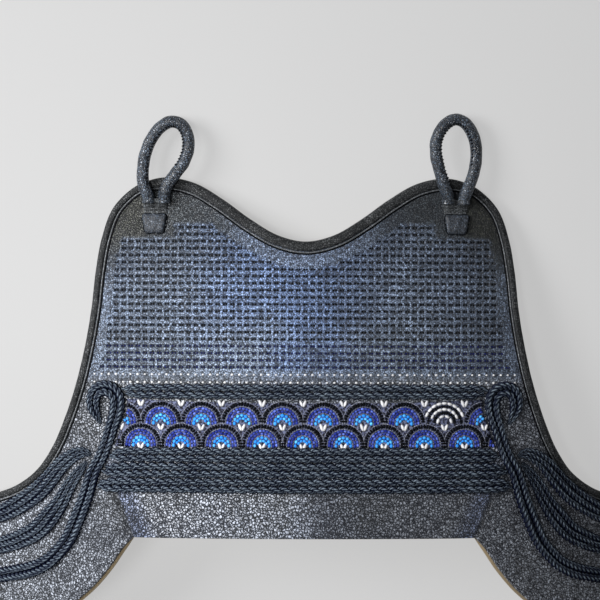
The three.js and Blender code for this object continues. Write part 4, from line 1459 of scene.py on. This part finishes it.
# %% The shapes of the tongues and keepers, in shares of their sizes
KEEPER_X = LOOP_X + 2 * MM
KEEPER_TOP = LOOP_FOOT - 13.6 * MM
KEEPER_WIDTH = 19.5 * MM
KEEPER_LENGTH = 15.5 * MM
KEEPER_HEIGHT = 2.2 * MM
TONGUE_X = LOOP_X + 1 * MM
TONGUE_TOP = LOOP_FOOT - 2 * MM
TONGUE_LENGTH = 11 * MM
TONGUE_HALF = 10.8 * MM
TONGUE_TAPER = 1.8 * MM
HUMPS = 9.9 * MM  # over the loop's two ends
TONGUE_PAD = 0.5 * MM
TONGUE_CREASES = 0.5 * MM
HUMP_VALLEY = 2.4 / 10.6  # half of the valley between the humps


def keeper_half(v):
    """A pad a little narrower at its lower end, with rounded corners."""
    return KEEPER_WIDTH / 2 * (1.02 - 0.24 * v) * (1 - 0.15 * np.abs(2 * v - 1) ** 6)


def keeper_rise(u, v):
    edge = dome(u, 4) * dome(2 * v - 1, 4)
    return KEEPER_HEIGHT * (0.5 + 0.9 * edge) + 0.2 * MM * np.sin(7 * u + 3 * v) * edge


def tongue_half(v):
    return TONGUE_HALF - TONGUE_TAPER * v


def tongue_rise(u, v):
    humps = HUMPS * (1 - 0.3 * np.exp(-((u / HUMP_VALLEY) ** 2)))
    fall = smooth_step(0.0, 1.0, v) ** 0.7
    creases = TONGUE_CREASES * np.sin(v * 27 + 0.8 * np.cos(2.5 * u)) * (1 - 0.6 * v)
    return (humps * (1 - fall) + TONGUE_PAD * fall + creases) * dome(u, 2.6)


# %% The tongues, the keepers and the keepers' seams
SEAM_STITCH = (1.6 * MM, 1.5 * MM, 1.2 * MM)
SEAM_LIFT = 0.5 * MM
SEAM_COUNT = 60
SEAM_SQUARENESS = 0.45  # 1 would be round, 0 square


def rounded_square(count):
    """Points round a square with soft corners, from -1 to 1."""
    turn = np.linspace(0, math.tau, count, endpoint=False)
    return [np.sign(wave) * np.abs(wave) ** SEAM_SQUARENESS for wave in (np.cos(turn), np.sin(turn))]


def keeper_seam(sign):
    across, up = rounded_square(SEAM_COUNT)
    x = sign * KEEPER_X + KEEPER_WIDTH / 2 * (0.9 + 0.12 * up) * 1.05 * across
    y = KEEPER_TOP + KEEPER_LENGTH / 2 * (1.04 * up - 1)
    turns = np.arctan2(np.roll(y, -1) - np.roll(y, 1), np.roll(x, -1) - np.roll(x, 1))
    return [(*spot, SEAM_LIFT, turn, *SEAM_STITCH) for *spot, turn in zip(x, y, turns)]


seam_places = []
for hand, sign in (("right", 1), ("left", -1)):
    keeper = raised_patch(
        f"padded_keeper_{hand}", sign * KEEPER_X, KEEPER_TOP, KEEPER_LENGTH, keeper_half, keeper_rise,
        keeper_leather,
    )
    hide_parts(f"loop_keeper_{hand}")
    raised_patch(
        f"loop_tongue_{hand}", sign * TONGUE_X, TONGUE_TOP, TONGUE_LENGTH, tongue_half, tongue_rise,
        tongue_leather,
    )
    seam_places += keeper_seam(sign)
stitches("keeper_seam", seam_places, dark_thread, spread=0.0)
print("loops, tongues and keepers are on")

# %% [markdown]
# ## Camera, floor and light
#
# The photograph looks almost straight at the panel's front, from a little over a metre and a half, with a
# long lens. Its camera was fitted to the waist's corners, the keepers and the silhouette. The panel lies on
# a plain pale floor under a large soft light from the upper left, which leaves the right wing dark.

# %% The camera
LOOK_AT = np.array([-4.4, 189.5, 0]) * MM
DISTANCE = 1.586
YAW, PITCH, ROLL = np.radians([-0.55, -0.75, 0.21])
back = np.array([math.sin(YAW) * math.cos(PITCH), math.sin(PITCH), math.cos(YAW) * math.cos(PITCH)])
right = np.cross([0, 1, 0], back)
right /= np.linalg.norm(right)
up = np.cross(back, right)
right, up = right * math.cos(ROLL) + up * math.sin(ROLL), up * math.cos(ROLL) - right * math.sin(ROLL)
camera = bpy.data.objects.new("camera", bpy.data.cameras.new("camera"))
camera.data.lens = 120
camera.data.sensor_width = 36
axes = Matrix((TURN @ np.stack([right, up, back], axis=1)).tolist())
eye = TURN @ (LOOK_AT + back * DISTANCE) + SHIFT
camera.matrix_world = Matrix.Translation(Vector(eye)) @ axes.to_4x4()
bpy.context.scene.collection.objects.link(camera)
bpy.context.scene.camera = camera
print("camera at", np.round(eye, 3))

# %% The floor
FLOOR_HALF = 4.0
corners = [(-FLOOR_HALF, -FLOOR_HALF, 0), (FLOOR_HALF, -FLOOR_HALF, 0)]
corners += [(FLOOR_HALF, FLOOR_HALF, 0), (-FLOOR_HALF, FLOOR_HALF, 0)]
floor_look = {"Base_Color": (0.18, 0.18, 0.18, 1), "Emission_Color": (1, 1, 1, 1), "Emission_Strength": 0.47}
floor_material, *_ = new_material("pale_floor", Roughness=1.0, Specular_IOR_Level=0.0, **floor_look)
floor = add_object("floor", make_mesh("floor", corners, [[0, 1, 2, 3]]), floor_material)
floor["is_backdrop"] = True
print("the floor reaches", FLOOR_HALF, "metres to each side")


# %% The lights
def soft_light(name, kind, place_at, aim, power, **settings):
    light = bpy.data.objects.new(name, bpy.data.lights.new(name, kind))
    light.data.energy = power
    for label, value in settings.items():
        setattr(light.data, label, value)
    light.location = place_at
    light.rotation_mode = "QUATERNION"
    light.rotation_quaternion = (Vector(aim) - Vector(place_at)).to_track_quat("-Z", "Y")
    bpy.context.scene.collection.objects.link(light)
    print(name, "light:", power, "watts")


soft_light("key", "AREA", (-1.3, 0.6, 0.95), (-0.1, 0, 0.05), 38, shape="SQUARE", size=0.8)
spot = {"shadow_soft_size": 0.3, "spot_size": math.radians(24), "spot_blend": 1.0}
soft_light("overhead", "SPOT", (-0.6, 0.4, 2.0), (-0.18, -0.01, 0.05), 130, **spot)
world = bpy.data.worlds.new("studio")
world.use_nodes = True
background = world.node_tree.nodes["Background"]
background.inputs["Color"].default_value = (0.9, 0.92, 0.95, 1)
background.inputs["Strength"].default_value = 0.17
bpy.context.scene.world = world
bpy.context.scene.view_settings.view_transform = "Standard"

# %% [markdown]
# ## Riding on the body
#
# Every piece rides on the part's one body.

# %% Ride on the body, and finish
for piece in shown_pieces():
    if piece.name not in frame["nodes"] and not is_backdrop(piece):
        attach(piece, "root")
